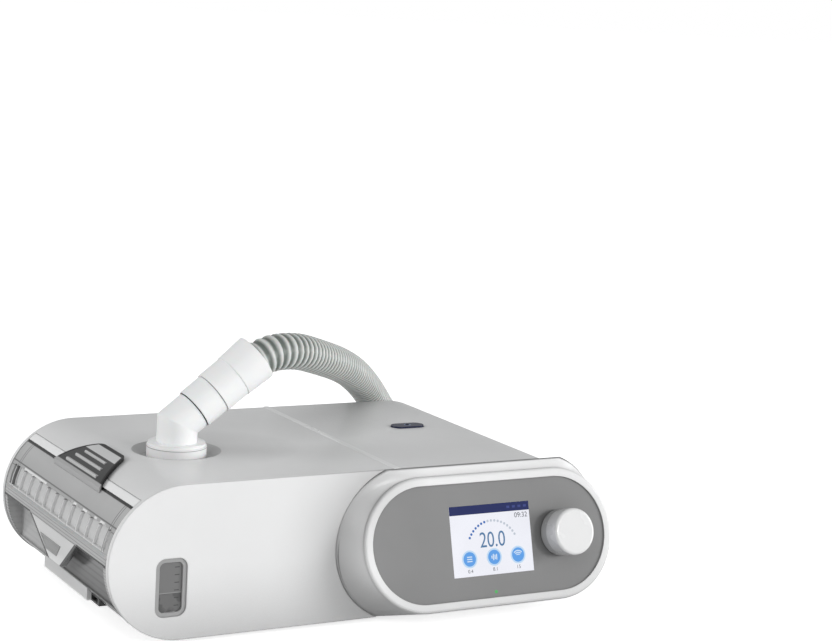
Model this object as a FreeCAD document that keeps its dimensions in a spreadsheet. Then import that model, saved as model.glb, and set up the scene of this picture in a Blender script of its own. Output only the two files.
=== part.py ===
import FreeCAD, Part
import math
import os
import re
import Sketcher

# A bedside breathing machine: a humidifier shell with a pull-out water tank on the left, the blower
# shell with a tilted control pod on the right, and a ribbed hose on a swivel elbow.
# Sizes are in millimetres and degrees. Lengths run from the machine's left end (x), from the front
# face of its shells (y) and from the underside of its shells (z).

sizes = {
    # the two shells
    "body_height": 80.7,
    "body_depth": 165.0,
    "body_length": 284.8,
    "seam_place": 162.5,
    "seam_gap": 0.8,
    "shell_wall": 2.5,
    "face_wall": 3.0,
    "fit_gap": 0.3,
    "run_gap": 0.05,
    "foot_height": 2.5,
    "foot_radius": 6.0,
    "foot_inset": 13.0,
    "post_radius": 4.0,
    "post_inset": 11.0,
    "screw_radius": 1.4,
    "screw_length": 12.0,
    "screw_head_radius": 2.6,
    "screw_head_height": 1.6,
    # water tank and its bay
    "bay_edge": 17.8,
    "tank_edge": 13.6,
    "tank_inset": 0.4,
    "tank_straight": 8.15,
    "tank_floor": 8.0,
    "tank_wall": 2.2,
    "split_drop": 35.7,
    "seal_height": 1.2,
    "ledge_drop": 22.7,
    "band_depth": 1.6,
    "band_margin": 5.0,
    "fin_count": 12.0,
    "fin_margin": 8.25,
    "fin_width": 1.2,
    "grip_drop": 5.0,
    "grip_rise": 8.4,
    "grip_depth": 9.5,
    "grip_margin": 4.0,
    "tongue_top": 73.0,
    "tongue_tip": 22.0,
    "tongue_rise": 5.2,
    "tongue_wall": 2.4,
    "tongue_set": 2.0,
    "tongue_round": 5.0,
    "bar_width": 66.0,
    "bar_set": 0.025,
    "bar_height": 7.0,
    "bar_loop": 12.0,
    "tab_shift": 4.0,
    "tab_width": 69.0,
    "tab_tip_width": 33.0,
    "tab_tip_place": 32.2,
    "tab_tip_round": 8.0,
    "tab_lift": 0.4,
    "tab_wall": 1.4,
    "tab_foot": 2.0,
    "tab_rib": 0.7,
    "tab_rib_place": 14.2,
    "tab_rib_pitch": 3.8,
    "tab_rib_length": 45.0,
    "tab_rib_taper": 7.5,
    "dock_wall": 1.5,
    "dock_gap": 2.5,
    "port_radius": 7.5,
    "port_drop": 23.7,
    "seal_foot": 3.0,
    "seal_lip": 2.0,
    "plate_width": 22.0,
    "plate_length": 104.0,
    "plate_inset": 14.5,
    "heater_thickness": 2.0,
    "spring_radius": 3.0,
    # water level window in the front face
    "window_place": 34.3,
    "window_level": 27.8,
    "window_width": 17.0,
    "window_height": 30.6,
    "window_round": 5.0,
    "window_rim": 2.2,
    "window_recess": 0.6,
    "window_lens": 1.4,
    # outlet, elbow and hose cuff
    "outlet_inset": 13.5,
    "outlet_back": 74.0,
    "dish_radius": 24.0,
    "dish_floor_radius": 20.0,
    "dish_depth": 4.5,
    "flange_radius": 16.2,
    "flange_rise": 4.7,
    "flange_step": 1.6,
    "port_wall": 2.0,
    "tube_radius": 11.0,
    "tube_wall": 2.0,
    "socket_depth": 12.0,
    "bend_rise": 14.6,
    "arm_rise": 37.5,
    "arm_length": 11.3,
    "spigot_radius": 9.9,
    "spigot_bore": 8.0,
    "spigot_end": 24.0,
    "collar_start": 11.8,
    "collar_end": 25.2,
    "collar_radius": 11.8,
    "cuff_start": 25.5,
    "cuff_step": 40.0,
    "cuff_end": 56.6,
    "cuff_radius": 12.4,
    "cuff_mouth_radius": 13.6,
    # hose
    "hose_radius": 10.4,
    "rib_root_radius": 9.2,
    "hose_bore": 8.0,
    "rib_pitch": 4.7,
    "socket_stop": 35.8,
    "hose_lead": 67.0,
    "coil_radius": 120.0,
    "coil_pitch": 22.0,
    "coil_tail_radius": 62.5,
    "coil_tail_turn": 135.0,
    "lay_height": 12.7,
    "tie_width": 14.0,
    "tie_wall": 1.2,
    "end_cuff_radius": 12.5,
    "end_cuff_bore": 11.0,
    "end_cuff_length": 42.0,
    "end_cuff_socket": 20.0,
    "end_cuff_grip": 12.0,
    "end_cuff_step": 1.0,
    # control pod
    "pod_seat": 1.2,
    "pod_arc_extra": 3.15,
    "pod_arc_place": 170.7,
    "pod_base_margin": 2.0,
    "pod_wall": 2.6,
    "pod_round": 1.6,
    "pod_shoulder": 2.0,
    "face_place": 216.45,
    "face_front": 11.35,
    "face_lift": 0.41,
    "face_tilt": 16.4,
    "face_span": 84.5,
    "ring_inset": 4.05,
    "ring_rise": 0.8,
    "ring_width": 4.88,
    "panel_wall": 2.5,
    "screen_width": 50.8,
    "screen_height": 38.1,
    "lens_wall": 1.5,
    "screen_border": 3.0,
    "screen_depth": 6.3,
    "board_wall": 1.6,
    "display_width": 100.0,
    "display_height": 46.0,
    "display_shift": 4.0,
    "opening_edge": 1.0,
    "opening_reach": 8.0,
    "opening_down": 30.36,
    "opening_up": 27.6,
    "knob_place": 44.25,
    "knob_level": 0.2,
    "knob_radius": 12.8,
    "knob_height": 15.8,
    "knob_round": 1.6,
    "knob_lift": 1.0,
    "knob_wall": 2.4,
    "shaft_radius": 3.0,
    "shaft_length": 16.0,
    "shaft_root": 3.2,
    "bushing_radius": 4.2,
    "bushing_rise": 0.4,
    "encoder_width": 12.6,
    "plunger_length": 1.8,
    "plunger_travel": 0.7,
    "light_inset": 3.02,
    "light_radius": 0.9,
    # start button on the top
    "button_place": 220.5,
    "button_back": 94.5,
    "button_length": 20.5,
    "button_width": 9.5,
    "button_rise": 0.9,
    "button_lip": 1.4,
    "button_travel": 0.8,
    "switch_width": 6.0,
    "switch_height": 3.0,
    # blower and air path
    "blower_place": 216.0,
    "blower_inset": 57.0,
    "blower_radius": 35.0,
    "blower_wall": 3.0,
    "blower_drop": 36.7,
    "blower_height": 22.0,
    "blower_inlet": 13.0,
    "duct_offset": 22.0,
    "duct_rise": 12.0,
    "duct_radius": 9.5,
    "duct_bore": 7.5,
    "impeller_radius": 29.0,
    "impeller_lift": 4.0,
    "impeller_height": 10.0,
    "impeller_plate": 1.5,
    "hub_radius": 6.0,
    "blade_count": 11.0,
    "blade_wall": 1.2,
    "motor_radius": 15.0,
    "motor_height": 21.7,
    "motor_shaft": 1.5,
    "mount_wall": 3.0,
    # rear filter, power inlet and main board
    "filter_place": 243.0,
    "filter_level": 40.0,
    "filter_width": 40.0,
    "filter_height": 36.0,
    "filter_depth": 8.0,
    "cover_wall": 2.0,
    "slot_count": 5.0,
    "slot_height": 2.6,
    "slot_pitch": 5.72,
    "slot_half": 15.2,
    "inlet_place": 190.0,
    "inlet_level": 22.0,
    "inlet_radius": 5.5,
    "inlet_bore": 3.4,
    "inlet_pin": 1.2,
    "inlet_depth": 10.0,
    "inlet_width": 14.0,
    "muffler_width": 22.0,
    "muffler_length": 80.0,
    "muffler_height": 42.0,
    "board_place": 176.0,
    "board_front": 22.0,
    "board_length": 60.0,
    "board_gap": 16.0,
    "board_height": 8.0,
    "sink_height": 14.0,
    "connector_height": 8.0,
    "chip_height": 1.6,
    "capacitor_radius": 5.0,
    "capacitor_height": 16.0,
}

# Places and sizes that follow from the ones above.
links = {
    "end_radius": "body_height / 2",
    "tank_reach": "end_radius + tank_straight",
    "tank_split": "body_height - split_drop",
    "ledge_height": "body_height - ledge_drop",
    "fin_pitch": "(inside_back - inside_front - 2 * fin_margin) / (fin_count - 1)",
    "grip_top": "tank_split - grip_drop",
    "grip_bottom": "tank_floor + grip_rise",
    "tongue_low": "grip_bottom + tongue_rise",
    "bar_low": "grip_bottom - bar_height",
    "bar_reach": "end_radius + bar_set - sqrt(tank_radius^2 - (end_radius - grip_bottom)^2)",
    "plate_place": "tank_reach - plate_inset",
    "outlet_place": "dock_end + outlet_inset",
    "tab_place": "tank_middle - tab_shift",
    "port_height": "body_height - port_drop",
    "pod_arc_radius": "end_radius + pod_arc_extra",
    "face_level": "end_radius + face_lift",
    "ring_radius": "end_radius - ring_inset",
    "panel_radius": "ring_radius - ring_width",
    "light_level": "panel_radius - light_inset",
    "blower_back": "body_depth - blower_inset",
    "blower_floor": "body_height - blower_drop",
    "blower_roof": "blower_floor + blower_height",
    "duct_back": "blower_back + duct_offset",
    "duct_height": "blower_floor + duct_rise",
    "impeller_floor": "blower_floor + impeller_lift",
    "motor_floor": "motor_roof - motor_height",
    "board_depth": "blower_back - motor_radius - mount_wall - board_gap - board_front",
    "board_column": "board_length / 15",
    "board_row": "board_depth / 13",
    "round_place": "body_length - end_radius",
    "pod_right": "face_place + face_span / 2 + ring_radius",
    "knob_reach": "(knob_height - knob_round) * cos(face_tilt) + knob_round"
                  " + (knob_radius - knob_round - knob_level) * sin(face_tilt)",
    "front_reach": "face_front + knob_reach",
    "mid_across": "pod_right / 2",
    "mid_deep": "(body_depth - front_reach) / 2",
    "left_end_x": "seam_place - seam_gap / 2",
    "right_start_x": "seam_place + seam_gap / 2",
    "main_inside_x": "right_start_x + shell_wall",
    "inside_front": "face_wall + fit_gap",
    "inside_back": "body_depth - face_wall - fit_gap",
    "tank_radius": "end_radius - tank_inset",
    "tank_top": "end_radius + sqrt(end_radius^2 - (end_radius - tank_edge)^2) - fit_gap",
    "tank_middle": "body_depth / 2",
    "lid_floor": "tank_split + seal_height",
    "ceiling_floor": "tank_top + fit_gap",
    "ceiling_top": "ceiling_floor + dock_wall",
    "dock_place": "tank_reach + dock_gap",
    "dock_end": "dock_place + dock_wall",
    "bend_height": "body_height + bend_rise",
    "arm_turn": "90 - arm_rise",
    "panel_back": "0 - panel_wall - fit_gap",
    "board_level": "panel_back - screen_depth",
    "button_floor": "body_height - shell_wall - fit_gap - button_lip",
    "switch_top": "button_floor - button_travel - fit_gap",
    "switch_floor": "switch_top - switch_height",
    "switch_board": "switch_floor - board_wall",
    "motor_roof": "blower_floor - fit_gap",
    "heater_top": "tank_floor - fit_gap",
    "heater_floor": "heater_top - heater_thickness",
    "filter_front": "body_depth - cover_wall - fit_gap - filter_depth",
    "floor_level": "0 - foot_height",
}

doc = FreeCAD.newDocument("breathing_machine")
sheet = doc.addObject("Spreadsheet::Sheet", "Sizes")
for row, (alias, amount) in enumerate(sizes.items(), start=1):
    sheet.set("A%d" % row, alias)
    sheet.set("B%d" % row, str(amount))
    sheet.setAlias("B%d" % row, alias)
doc.recompute()

size_word = re.compile(r"[a-z]+(?:_[a-z]+)+")
pieces = []
spots = {}


def formula(text):
    # A size by name becomes its sheet cell, and a derived size its own formula.
    def swap(found):
        name = found.group(0)
        if name in links:
            return "(" + formula(links[name]) + ")"
        return "Sizes." + name
    return size_word.sub(swap, str(text))


def number(text):
    return float(sheet.evalExpression(formula(text)))


def bind(thing, values):
    for prop, text in values.items():
        thing.setExpression(prop, formula(text))


def place(thing, x="0", y="0", z="0", axis=(0, 0, 1), angle="0"):
    spots[thing.Name] = (x, y, z, axis, angle)
    turn = "rotation(vector(%s; %s; %s); %s)" % (*axis, angle)
    bind(thing, {"Placement": "placement(vector(%s; %s; %s); %s)" % (x, y, z, turn)})
    return thing


def block(name, x, y, z):
    # A box between the low and high values of each axis.
    thing = doc.addObject("Part::Box", name)
    sides = zip(("Length", "Width", "Height"), (x, y, z))
    bind(thing, {side: "(%s) - (%s)" % (high, low) for side, (low, high) in sides})
    return place(thing, x[0], y[0], z[0])


def rod(name, along, start, radius, length):
    thing = doc.addObject("Part::Cylinder", name)
    bind(thing, {"Radius": radius, "Height": length})
    axis, angle = {"x": ((0, 1, 0), "90"), "y": ((1, 0, 0), "-90"), "z": ((0, 0, 1), "0")}[along]
    return place(thing, *start, axis, angle)


def fuse(name, *things):
    thing = doc.addObject("Part::MultiFuse", name)
    thing.Shapes = list(things)
    thing.Refine = True
    spots[thing.Name] = ("0", "0", "0", (0, 0, 1), "0")
    return thing


def cut(name, base, *tools):
    thing = doc.addObject("Part::Cut", name)
    thing.Base = base
    thing.Tool = tools[0] if len(tools) == 1 else fuse(name + "_tools", *tools)
    thing.Refine = True
    spots[thing.Name] = ("0", "0", "0", (0, 0, 1), "0")
    return thing


def common(name, *things):
    thing = doc.addObject("Part::MultiCommon", name)
    thing.Shapes = list(things)
    spots[thing.Name] = ("0", "0", "0", (0, 0, 1), "0")
    return thing


def group(name, things):
    thing = doc.addObject("Part::Compound", name)
    thing.Links = list(things)
    spots[thing.Name] = ("0", "0", "0", (0, 0, 1), "0")
    return thing


def outline(body, role, points):
    # A closed run of lines whose corners are all dimensioned from the origin.
    sketch = body.newObject("Sketcher::SketchObject", body.Name + "_outline")
    origin_plane = next(item for item in body.Origin.OriginFeatures if item.Role == role)
    sketch.AttachmentSupport = (origin_plane, [""])
    sketch.MapMode = "FlatFace"
    corners = [FreeCAD.Vector(number(across), number(up), 0) for across, up in points]
    count = len(corners)
    for index in range(count):
        sketch.addGeometry(Part.LineSegment(corners[index], corners[(index + 1) % count]), False)
    for index in range(count):
        sketch.addConstraint(Sketcher.Constraint("Coincident", index, 2, (index + 1) % count, 1))
    for index, texts in enumerate(points):
        for kind, text in zip(("DistanceX", "DistanceY"), texts):
            spot = sketch.addConstraint(Sketcher.Constraint(kind, -1, 1, index, 1, number(text)))
            sketch.setExpression("Constraints[%d]" % spot, formula(text))
    return sketch


def turned(name, points):
    # A solid of revolution about its own Z axis from (radius, height) corners.
    body = doc.addObject("PartDesign::Body", name)
    sketch = outline(body, "XZ_Plane", points)
    spin = body.newObject("PartDesign::Revolution", name + "_turn")
    spin.Profile = sketch
    spin.ReferenceAxis = (sketch, ["V_Axis"])
    spin.Angle = 360
    return place(body)


def padded(name, role, points, length, backwards=False):
    body = doc.addObject("PartDesign::Body", name)
    pad = body.newObject("PartDesign::Pad", name + "_pad")
    pad.Profile = outline(body, role, points)
    pad.Reversed = backwards
    bind(pad, {"Length": length})
    return place(body)


def rounded(body, corners, radius):
    # Rounds the edges that a padded outline has at these of its corners.
    doc.recompute()
    pad = body.Tip
    spots_on = [tuple(number(text) for text in corner) for corner in corners]
    names = []
    for index, edge in enumerate(pad.Shape.Edges, start=1):
        low, high = (vertex.Point for vertex in edge.Vertexes)
        for pair in ((low.x, low.y, high.x, high.y), (low.y, low.z, high.y, high.z)):
            if any(math.dist(pair, spot * 2) < 1e-6 for spot in spots_on):
                names.append("Edge%d" % index)
    fillet = body.newObject("PartDesign::Fillet", body.Name + "_round")
    fillet.Base = (pad, names)
    bind(fillet, {"Radius": radius})
    return body


def soft_panel(name, x, z, y, corner):
    # An upright plate with round corners, between y[0] and y[1].
    wide = block(name + "_wide", x, y, ("(%s) + (%s)" % (z[0], corner), "(%s) - (%s)" % (z[1], corner)))
    tall = block(name + "_tall", ("(%s) + (%s)" % (x[0], corner), "(%s) - (%s)" % (x[1], corner)), y, z)
    rounds = []
    inward = ("(%s) + (%s)", "(%s) - (%s)")
    for across, from_side in zip(x, inward):
        for level, from_level in zip(z, inward):
            start = (from_side % (across, corner), y[0], from_level % (level, corner))
            rounds.append(rod(name + "_round", "y", start, corner, "(%s) - (%s)" % (y[1], y[0])))
    return fuse(name, wide, tall, *rounds)


def pill(name, half_span, radius, low, high, centre=("0", "0")):
    # A flat-sided pill lying along X between two heights.
    length = "(%s) - (%s)" % (high, low)
    left = "(%s) - (%s)" % (centre[0], half_span)
    right = "(%s) + (%s)" % (centre[0], half_span)
    sides = ("(%s) - (%s)" % (centre[1], radius), "(%s) + (%s)" % (centre[1], radius))
    ends = [rod(name + "_end", "z", (spot, centre[1], low), radius, length) for spot in (left, right)]
    return fuse(name, block(name + "_middle", (left, right), sides, (low, high)), *ends)


def left_round(name, radius, right, front, back):
    # The shells' left end: a half round along Y, then flat to the right.
    deep = "(%s) - (%s)" % (back, front)
    end = rod(name + "_end", "y", ("end_radius", front, "end_radius"), radius, deep)
    flat = block(name + "_flat", ("end_radius", right), (front, back),
                 ("end_radius - (%s)" % radius, "end_radius + (%s)" % radius))
    return fuse(name, end, flat)


def right_round(name, radius, left, front, back):
    deep = "(%s) - (%s)" % (back, front)
    end = rod(name + "_end", "y", ("round_place", front, "end_radius"), radius, deep)
    flat = block(name + "_flat", (left, "round_place"), (front, back),
                 ("end_radius - (%s)" % radius, "end_radius + (%s)" % radius))
    return fuse(name, end, flat)


def piece(label, thing, frame="body"):
    # A finished sub-part: named, and moved from its building frame to the part's own frame.
    x, y, z, axis, angle = spots[thing.Name]
    if frame == "pod":
        x, y, z = ("face_place + (%s)" % x,
                   "(%s) * sin(face_tilt) - (%s) * cos(face_tilt) - face_front" % (y, z),
                   "face_level + (%s) * cos(face_tilt) + (%s) * sin(face_tilt)" % (y, z))
        axis, angle = (1, 0, 0), "90 - face_tilt"
    if frame == "arm":
        x, y, z = ("outlet_place + (%s) * sin(arm_turn)" % z, "outlet_back",
                   "bend_height + (%s) * cos(arm_turn)" % z)
        axis, angle = (0, 1, 0), "arm_turn"
    place(thing, "(%s) - mid_across" % x, "(%s) - mid_deep" % y, "(%s) + foot_height" % z, axis, angle)
    thing.Label = label
    pieces.append(thing)


def shape_piece(label, shape):
    thing = doc.addObject("Part::Feature", label)
    thing.Shape = shape
    spots[thing.Name] = ("0", "0", "0", (0, 0, 1), "0")
    piece(label, thing)


def vector(x, y, z):
    return FreeCAD.Vector(number(x), number(y), number(z))


# Screw posts stand inside both shells, and the feet sit under the two bases.
humidifier_posts = [("dock_end + post_inset", "post_inset + face_wall"),
                    ("left_end_x - post_inset", "post_inset + face_wall"),
                    ("dock_end + post_inset", "body_depth - face_wall - post_inset"),
                    ("left_end_x - post_inset", "body_depth - face_wall - post_inset")]
main_posts = [("main_inside_x + post_inset", "post_inset + face_wall"),
              ("round_place - post_inset", "post_inset + face_wall"),
              ("main_inside_x + post_inset", "body_depth - face_wall - post_inset"),
              ("round_place - post_inset", "body_depth - face_wall - post_inset")]


def posts(name, spots_xy):
    top = "body_height - 2 * shell_wall"
    return [rod(name, "z", (x, y, "shell_wall"), "post_radius", top) for x, y in spots_xy]


def post_holes(name, spots_xy):
    return [rod(name, "z", (x, y, "0"), "screw_radius + run_gap", "screw_length + fit_gap")
            for x, y in spots_xy]


def base_holes(name, spots_xy):
    shanks = [rod(name, "z", (x, y, "-1"), "screw_radius + fit_gap", "shell_wall + 2") for x, y in spots_xy]
    heads = [rod(name + "_head", "z", (x, y, "-1"), "screw_head_radius + fit_gap", "screw_head_height + 1")
             for x, y in spots_xy]
    return shanks + heads


# Humidifier shell: front face, top and back wall in one moulding, open below and at the tank's end.
inside = ("face_wall", "body_depth - face_wall")
shell = left_round("humidifier_outside", "end_radius", "left_end_x", "0", "body_depth")
dish_cup = rod("dish_cup", "z", ("outlet_place", "outlet_back", "body_height - dish_depth - shell_wall"),
               "dish_radius + shell_wall", "dish_depth + shell_wall / 2")
hollow = left_round("humidifier_inside", "end_radius - shell_wall", "left_end_x + 1", *inside)
dish = doc.addObject("Part::Cone", "outlet_dish")
bind(dish, {"Radius1": "dish_floor_radius", "Radius2": "dish_radius", "Height": "dish_depth"})
place(dish, "outlet_place", "outlet_back", "body_height - dish_depth")
window_hole = soft_panel("window_hole",
                         ("window_place - window_width / 2", "window_place + window_width / 2"),
                         ("window_level - window_height / 2", "window_level + window_height / 2"),
                         ("-1", "face_wall + 1"), "window_round")
humidifier_walls = fuse("humidifier_walls", cut("humidifier_skin", shell, hollow), dish_cup,
                        *posts("humidifier_post", humidifier_posts))
piece("humidifier_cover", cut(
    "humidifier_cover", humidifier_walls,
    block("bay_mouth", ("-1", "bay_edge"), inside, ("-1", "body_height + 1")),
    block("bay_floor", ("bay_edge - 1", "left_end_x + 1"), inside, ("-1", "shell_wall + fit_gap / 2")),
    block("bay_under", ("bay_edge - 1", "end_radius"), inside, ("-1", "end_radius")),
    block("bay_roof", ("bay_edge - 1", "dock_end + fit_gap"), inside,
          ("end_radius - 1", "ceiling_top + fit_gap")),
    rod("pod_seat_cut", "y", ("pod_arc_place", "-1", "end_radius"), "pod_arc_radius + fit_gap",
        "pod_seat + 1"),
    dish,
    rod("outlet_hole", "z", ("outlet_place", "outlet_back", "body_height - dish_depth - shell_wall - 1"),
        "tube_radius + port_wall + fit_gap", "dish_depth + shell_wall + 2"),
    window_hole, *post_holes("humidifier_post_hole", humidifier_posts)))

base_side = ("inside_front", "inside_back")
base_slab = common("humidifier_slab",
                   left_round("humidifier_slab_round", "end_radius", "left_end_x", *base_side),
                   block("humidifier_slab_box", ("0", "left_end_x"), base_side, ("0", "shell_wall")))
piece("humidifier_base",
      cut("humidifier_base", base_slab, *base_holes("humidifier_base_hole", humidifier_posts)))

# Tank bay: its ceiling ends in the white strip beside the tank, and its end wall holds the air ports.
port_spots = [("outlet_back", "port_height"), ("duct_back", "port_height")]
strip = cut("bay_strip_ring",
            common("bay_strip",
                   left_round("bay_strip_round", "end_radius", "end_radius + 1", *base_side),
                   block("bay_strip_box", ("tank_edge", "bay_edge - fit_gap"), base_side,
                         ("ceiling_floor", "body_height"))),
            block("bay_strip_trim", ("bay_edge - fit_gap - 1", "bay_edge"), base_side,
                  ("body_height", "body_height + 1")))
ceiling = block("bay_ceiling", ("bay_edge - 1", "dock_end"), base_side, ("ceiling_floor", "ceiling_top"))
dock_wall = block("bay_end_wall", ("dock_place", "dock_end"), base_side, ("shell_wall", "ceiling_top"))
dock_holes = [rod("bay_port", "x", ("dock_place - 1", y, z), "port_radius", "dock_wall + 2")
              for y, z in port_spots]
piece("tank_dock", cut("tank_dock", fuse("tank_dock_walls", strip, ceiling, dock_wall), *dock_holes))

seal_rings = []
for y, z in port_spots:
    ring = turned("port_seal_ring", [("port_radius", "0"), ("port_radius + seal_foot", "0"),
                                     ("port_radius + seal_lip", "dock_gap - fit_gap"),
                                     ("port_radius", "dock_gap - fit_gap")])
    seal_rings.append(place(ring, "dock_place", y, z, (0, 1, 0), "-90"))
piece("port_seals", group("port_seals", seal_rings))

# Heater under the tank, on four springs.
plate_x = ("plate_place - plate_width / 2", "plate_place + plate_width / 2")
plate_y = ("tank_middle - plate_length / 2", "tank_middle + plate_length / 2")
piece("heater_plate", block("heater_plate", plate_x, plate_y, ("heater_floor", "heater_top")))
springs = []
for x in ("plate_place - plate_width / 4", "plate_place + plate_width / 4"):
    for y in ("tank_middle - plate_length / 3", "tank_middle + plate_length / 3"):
        ring = turned("heater_spring", [("spring_radius - 1", "0"), ("spring_radius", "0"),
                                        ("spring_radius", "heater_floor - shell_wall"),
                                        ("spring_radius - 1", "heater_floor - shell_wall")])
        springs.append(place(ring, x, y, "shell_wall"))
piece("heater_springs", group("heater_springs", springs))

# Water tank.
tank_side = ("inside_front", "inside_back")
tank_outside = "tank_radius"
tank_in = ("inside_front + tank_wall", "inside_back - tank_wall")


def tank_body(name, low, high):
    return common(name, left_round(name + "_round", tank_outside, "tank_reach", *tank_side),
                  block(name + "_box", ("-1", "tank_reach"), tank_side, (low, high)))


def tank_hollow(name, radius, left, low, high):
    return common(name, left_round(name + "_round", radius, "tank_reach - tank_wall", *tank_in),
                  block(name + "_box", (left, "tank_reach - tank_wall"), tank_in, (low, high)))


grip_y = ("inside_front + grip_margin", "inside_back - grip_margin")
piece("tank_tub", cut(
    "tank_tub", tank_body("tub_outside", "tank_floor", "tank_split"),
    block("tub_grip", ("-1", "grip_depth"), grip_y, ("grip_bottom", "grip_top")),
    tank_hollow("tub_low", "tank_radius - tank_wall", "grip_depth + tank_wall", "tank_floor + tank_wall",
                "tank_split + 1"),
    tank_hollow("tub_high", "tank_radius - tank_wall", "-1", "grip_top + tank_wall", "tank_split + 1"),
    block("tub_plate_hole", plate_x, plate_y, ("tank_floor - 1", "tank_floor + tank_wall + 1"))))
plate_fit = "run_gap"
piece("tank_base_plate", block(
    "tank_base_plate", ("%s + %s" % (plate_x[0], plate_fit), "%s - %s" % (plate_x[1], plate_fit)),
    ("%s + %s" % (plate_y[0], plate_fit), "%s - %s" % (plate_y[1], plate_fit)),
    ("tank_floor", "tank_floor + tank_wall")))
piece("tank_seal", cut("tank_seal", tank_body("seal_outside", "tank_split", "lid_floor"),
                       tank_hollow("seal_inside", "tank_radius - tank_wall", "-1", "tank_split - 1",
                                   "lid_floor + 1")))

band_y = ("inside_front + band_margin", "inside_back - band_margin")
band = cut("lid_band", common("lid_band_zone",
                              left_round("lid_band_round", "end_radius + 1", "end_radius + 1", *band_y),
                              block("lid_band_box", ("-1", "tank_edge"), band_y,
                                    ("lid_floor + fin_width", "ledge_height"))),
           left_round("lid_band_floor", "tank_radius - band_depth", "end_radius + 1", *tank_side))
fins = []
for index in range(int(sizes["fin_count"])):
    middle = "tank_middle + (%d - (fin_count - 1) / 2) * fin_pitch" % index
    fins.append(block("lid_fin", ("-1", "tank_edge"),
                      ("%s - fin_width / 2" % middle, "%s + fin_width / 2" % middle),
                      ("lid_floor", "ledge_height")))
lid_ports = [rod("lid_port", "x", ("tank_reach - tank_wall - 1", y, z), "port_radius", "tank_wall + 2")
             for y, z in port_spots]
piece("tank_lid", cut(
    "tank_lid", tank_body("lid_outside", "lid_floor", "tank_top"),
    tank_hollow("lid_inside", "tank_radius - band_depth - tank_wall", "-1", "lid_floor - 1",
                "tank_top - tank_wall"),
    cut("lid_band_cut", band, fuse("lid_fins", *fins)), *lid_ports))

# Pull tongue: a plate that hangs from the grip's top edge, clear of the recess behind it.
tongue_corners = [("tank_middle + tongue_tip / 2", "tongue_low"),
                  ("tank_middle - tongue_tip / 2", "tongue_low")]
tongue_shape = padded("tongue_shape", "YZ_Plane", [
    ("tank_middle - tongue_top / 2", "grip_top - run_gap"),
    ("tank_middle + tongue_top / 2", "grip_top - run_gap"),
    *tongue_corners], "2 * end_radius")
rounded(tongue_shape, tongue_corners, "tongue_round")
place(tongue_shape, "0 - end_radius", "0", "0")
tongue_plate = padded("tongue_plate", "XZ_Plane", [
    ("tank_inset", "grip_top"), ("tank_inset + tongue_wall", "grip_top"),
    ("tongue_set + tongue_wall", "tongue_low"), ("tongue_set", "tongue_low")], "body_depth",
    backwards=True)
piece("tank_tongue", common("tank_tongue", tongue_plate, tongue_shape))

# Finger bar: the straight lower edge of the grip, with a small loop at its front end.
bar_y = ("tank_middle - bar_width / 2", "tank_middle + bar_width / 2")
bar_block = block("bar_block", ("bar_reach", "end_radius"), bar_y, ("bar_low", "grip_bottom"))
loop_y = ("%s - bar_loop" % bar_y[0], bar_y[0])
loop_top = "(grip_bottom + bar_low) / 2 + tank_wall / 2"
loop_block = block("bar_loop_block", ("bar_reach + tank_wall", "end_radius"), loop_y, ("bar_low", loop_top))
loop_hole = block("bar_loop_hole", ("0", "end_radius"),
                  ("%s + tank_wall" % loop_y[0], "%s - tank_wall / 2" % loop_y[1]),
                  ("bar_low + tank_wall / 2", "%s - tank_wall / 2" % loop_top))
piece("tank_finger_bar", cut("tank_finger_bar", fuse("bar_whole", bar_block, loop_block), loop_hole,
                             left_round("bar_seat", "tank_radius + run_gap", "end_radius + 1", *tank_side),
                             block("bar_under", ("end_radius / 2 - tank_inset", "end_radius + 1"),
                                   tank_side,
                                   ("0", "grip_bottom + 1"))))

# Thumb tab: it rises from the lid's edge and follows the shell's round end, just clear of it.
tab_under = "end_radius + tab_lift"
tab_over = "end_radius + tab_lift + tab_wall"
tab_start = "tank_edge - fit_gap - tab_foot"


def round_level(x, radius):
    # Height above a place on the round end, on a round of this radius.
    return "end_radius + sqrt((%s)^2 - (end_radius - (%s))^2)" % (radius, x)


def tab_ring(name, inside):
    return cut(name, left_round(name + "_over", tab_over, "end_radius + 1", *tank_side),
               left_round(name + "_under", inside, "end_radius + 2", *tank_side))


tab_corners = [("tab_tip_place", "tab_place + tab_tip_width / 2"),
               ("tab_tip_place", "tab_place - tab_tip_width / 2")]
tab_shape = padded("tab_shape", "XY_Plane", [
    (tab_start, "tab_place - tab_width / 2"), (tab_start, "tab_place + tab_width / 2"), *tab_corners],
    "end_radius + body_height")
rounded(tab_shape, tab_corners, "tab_tip_round")
place(tab_shape, "0", "0", "end_radius")
tab_foot_box = block("tab_foot_box", (tab_start, "tank_edge - fit_gap"),
                     ("tab_place - tab_width / 2", "tab_place + tab_width / 2"),
                     ("end_radius", "body_height"))
tab_ribs = []
for step in range(3):
    across = "tab_rib_place + %d * tab_rib_pitch" % step
    length = "tab_rib_length - %d * tab_rib_taper" % step
    tab_ribs.append(rod("tab_rib", "y",
                        (across, "tab_place - (%s) / 2" % length, round_level(across, tab_over)),
                        "tab_rib", length))
piece("tank_thumb_tab",
      fuse("tank_thumb_tab", common("tab_plate", tab_ring("tab_plate_ring", tab_under), tab_shape),
                             common("tab_foot", tab_ring("tab_foot_ring", "tank_radius + run_gap"),
                                    tab_shape, tab_foot_box),
                             *tab_ribs))

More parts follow.
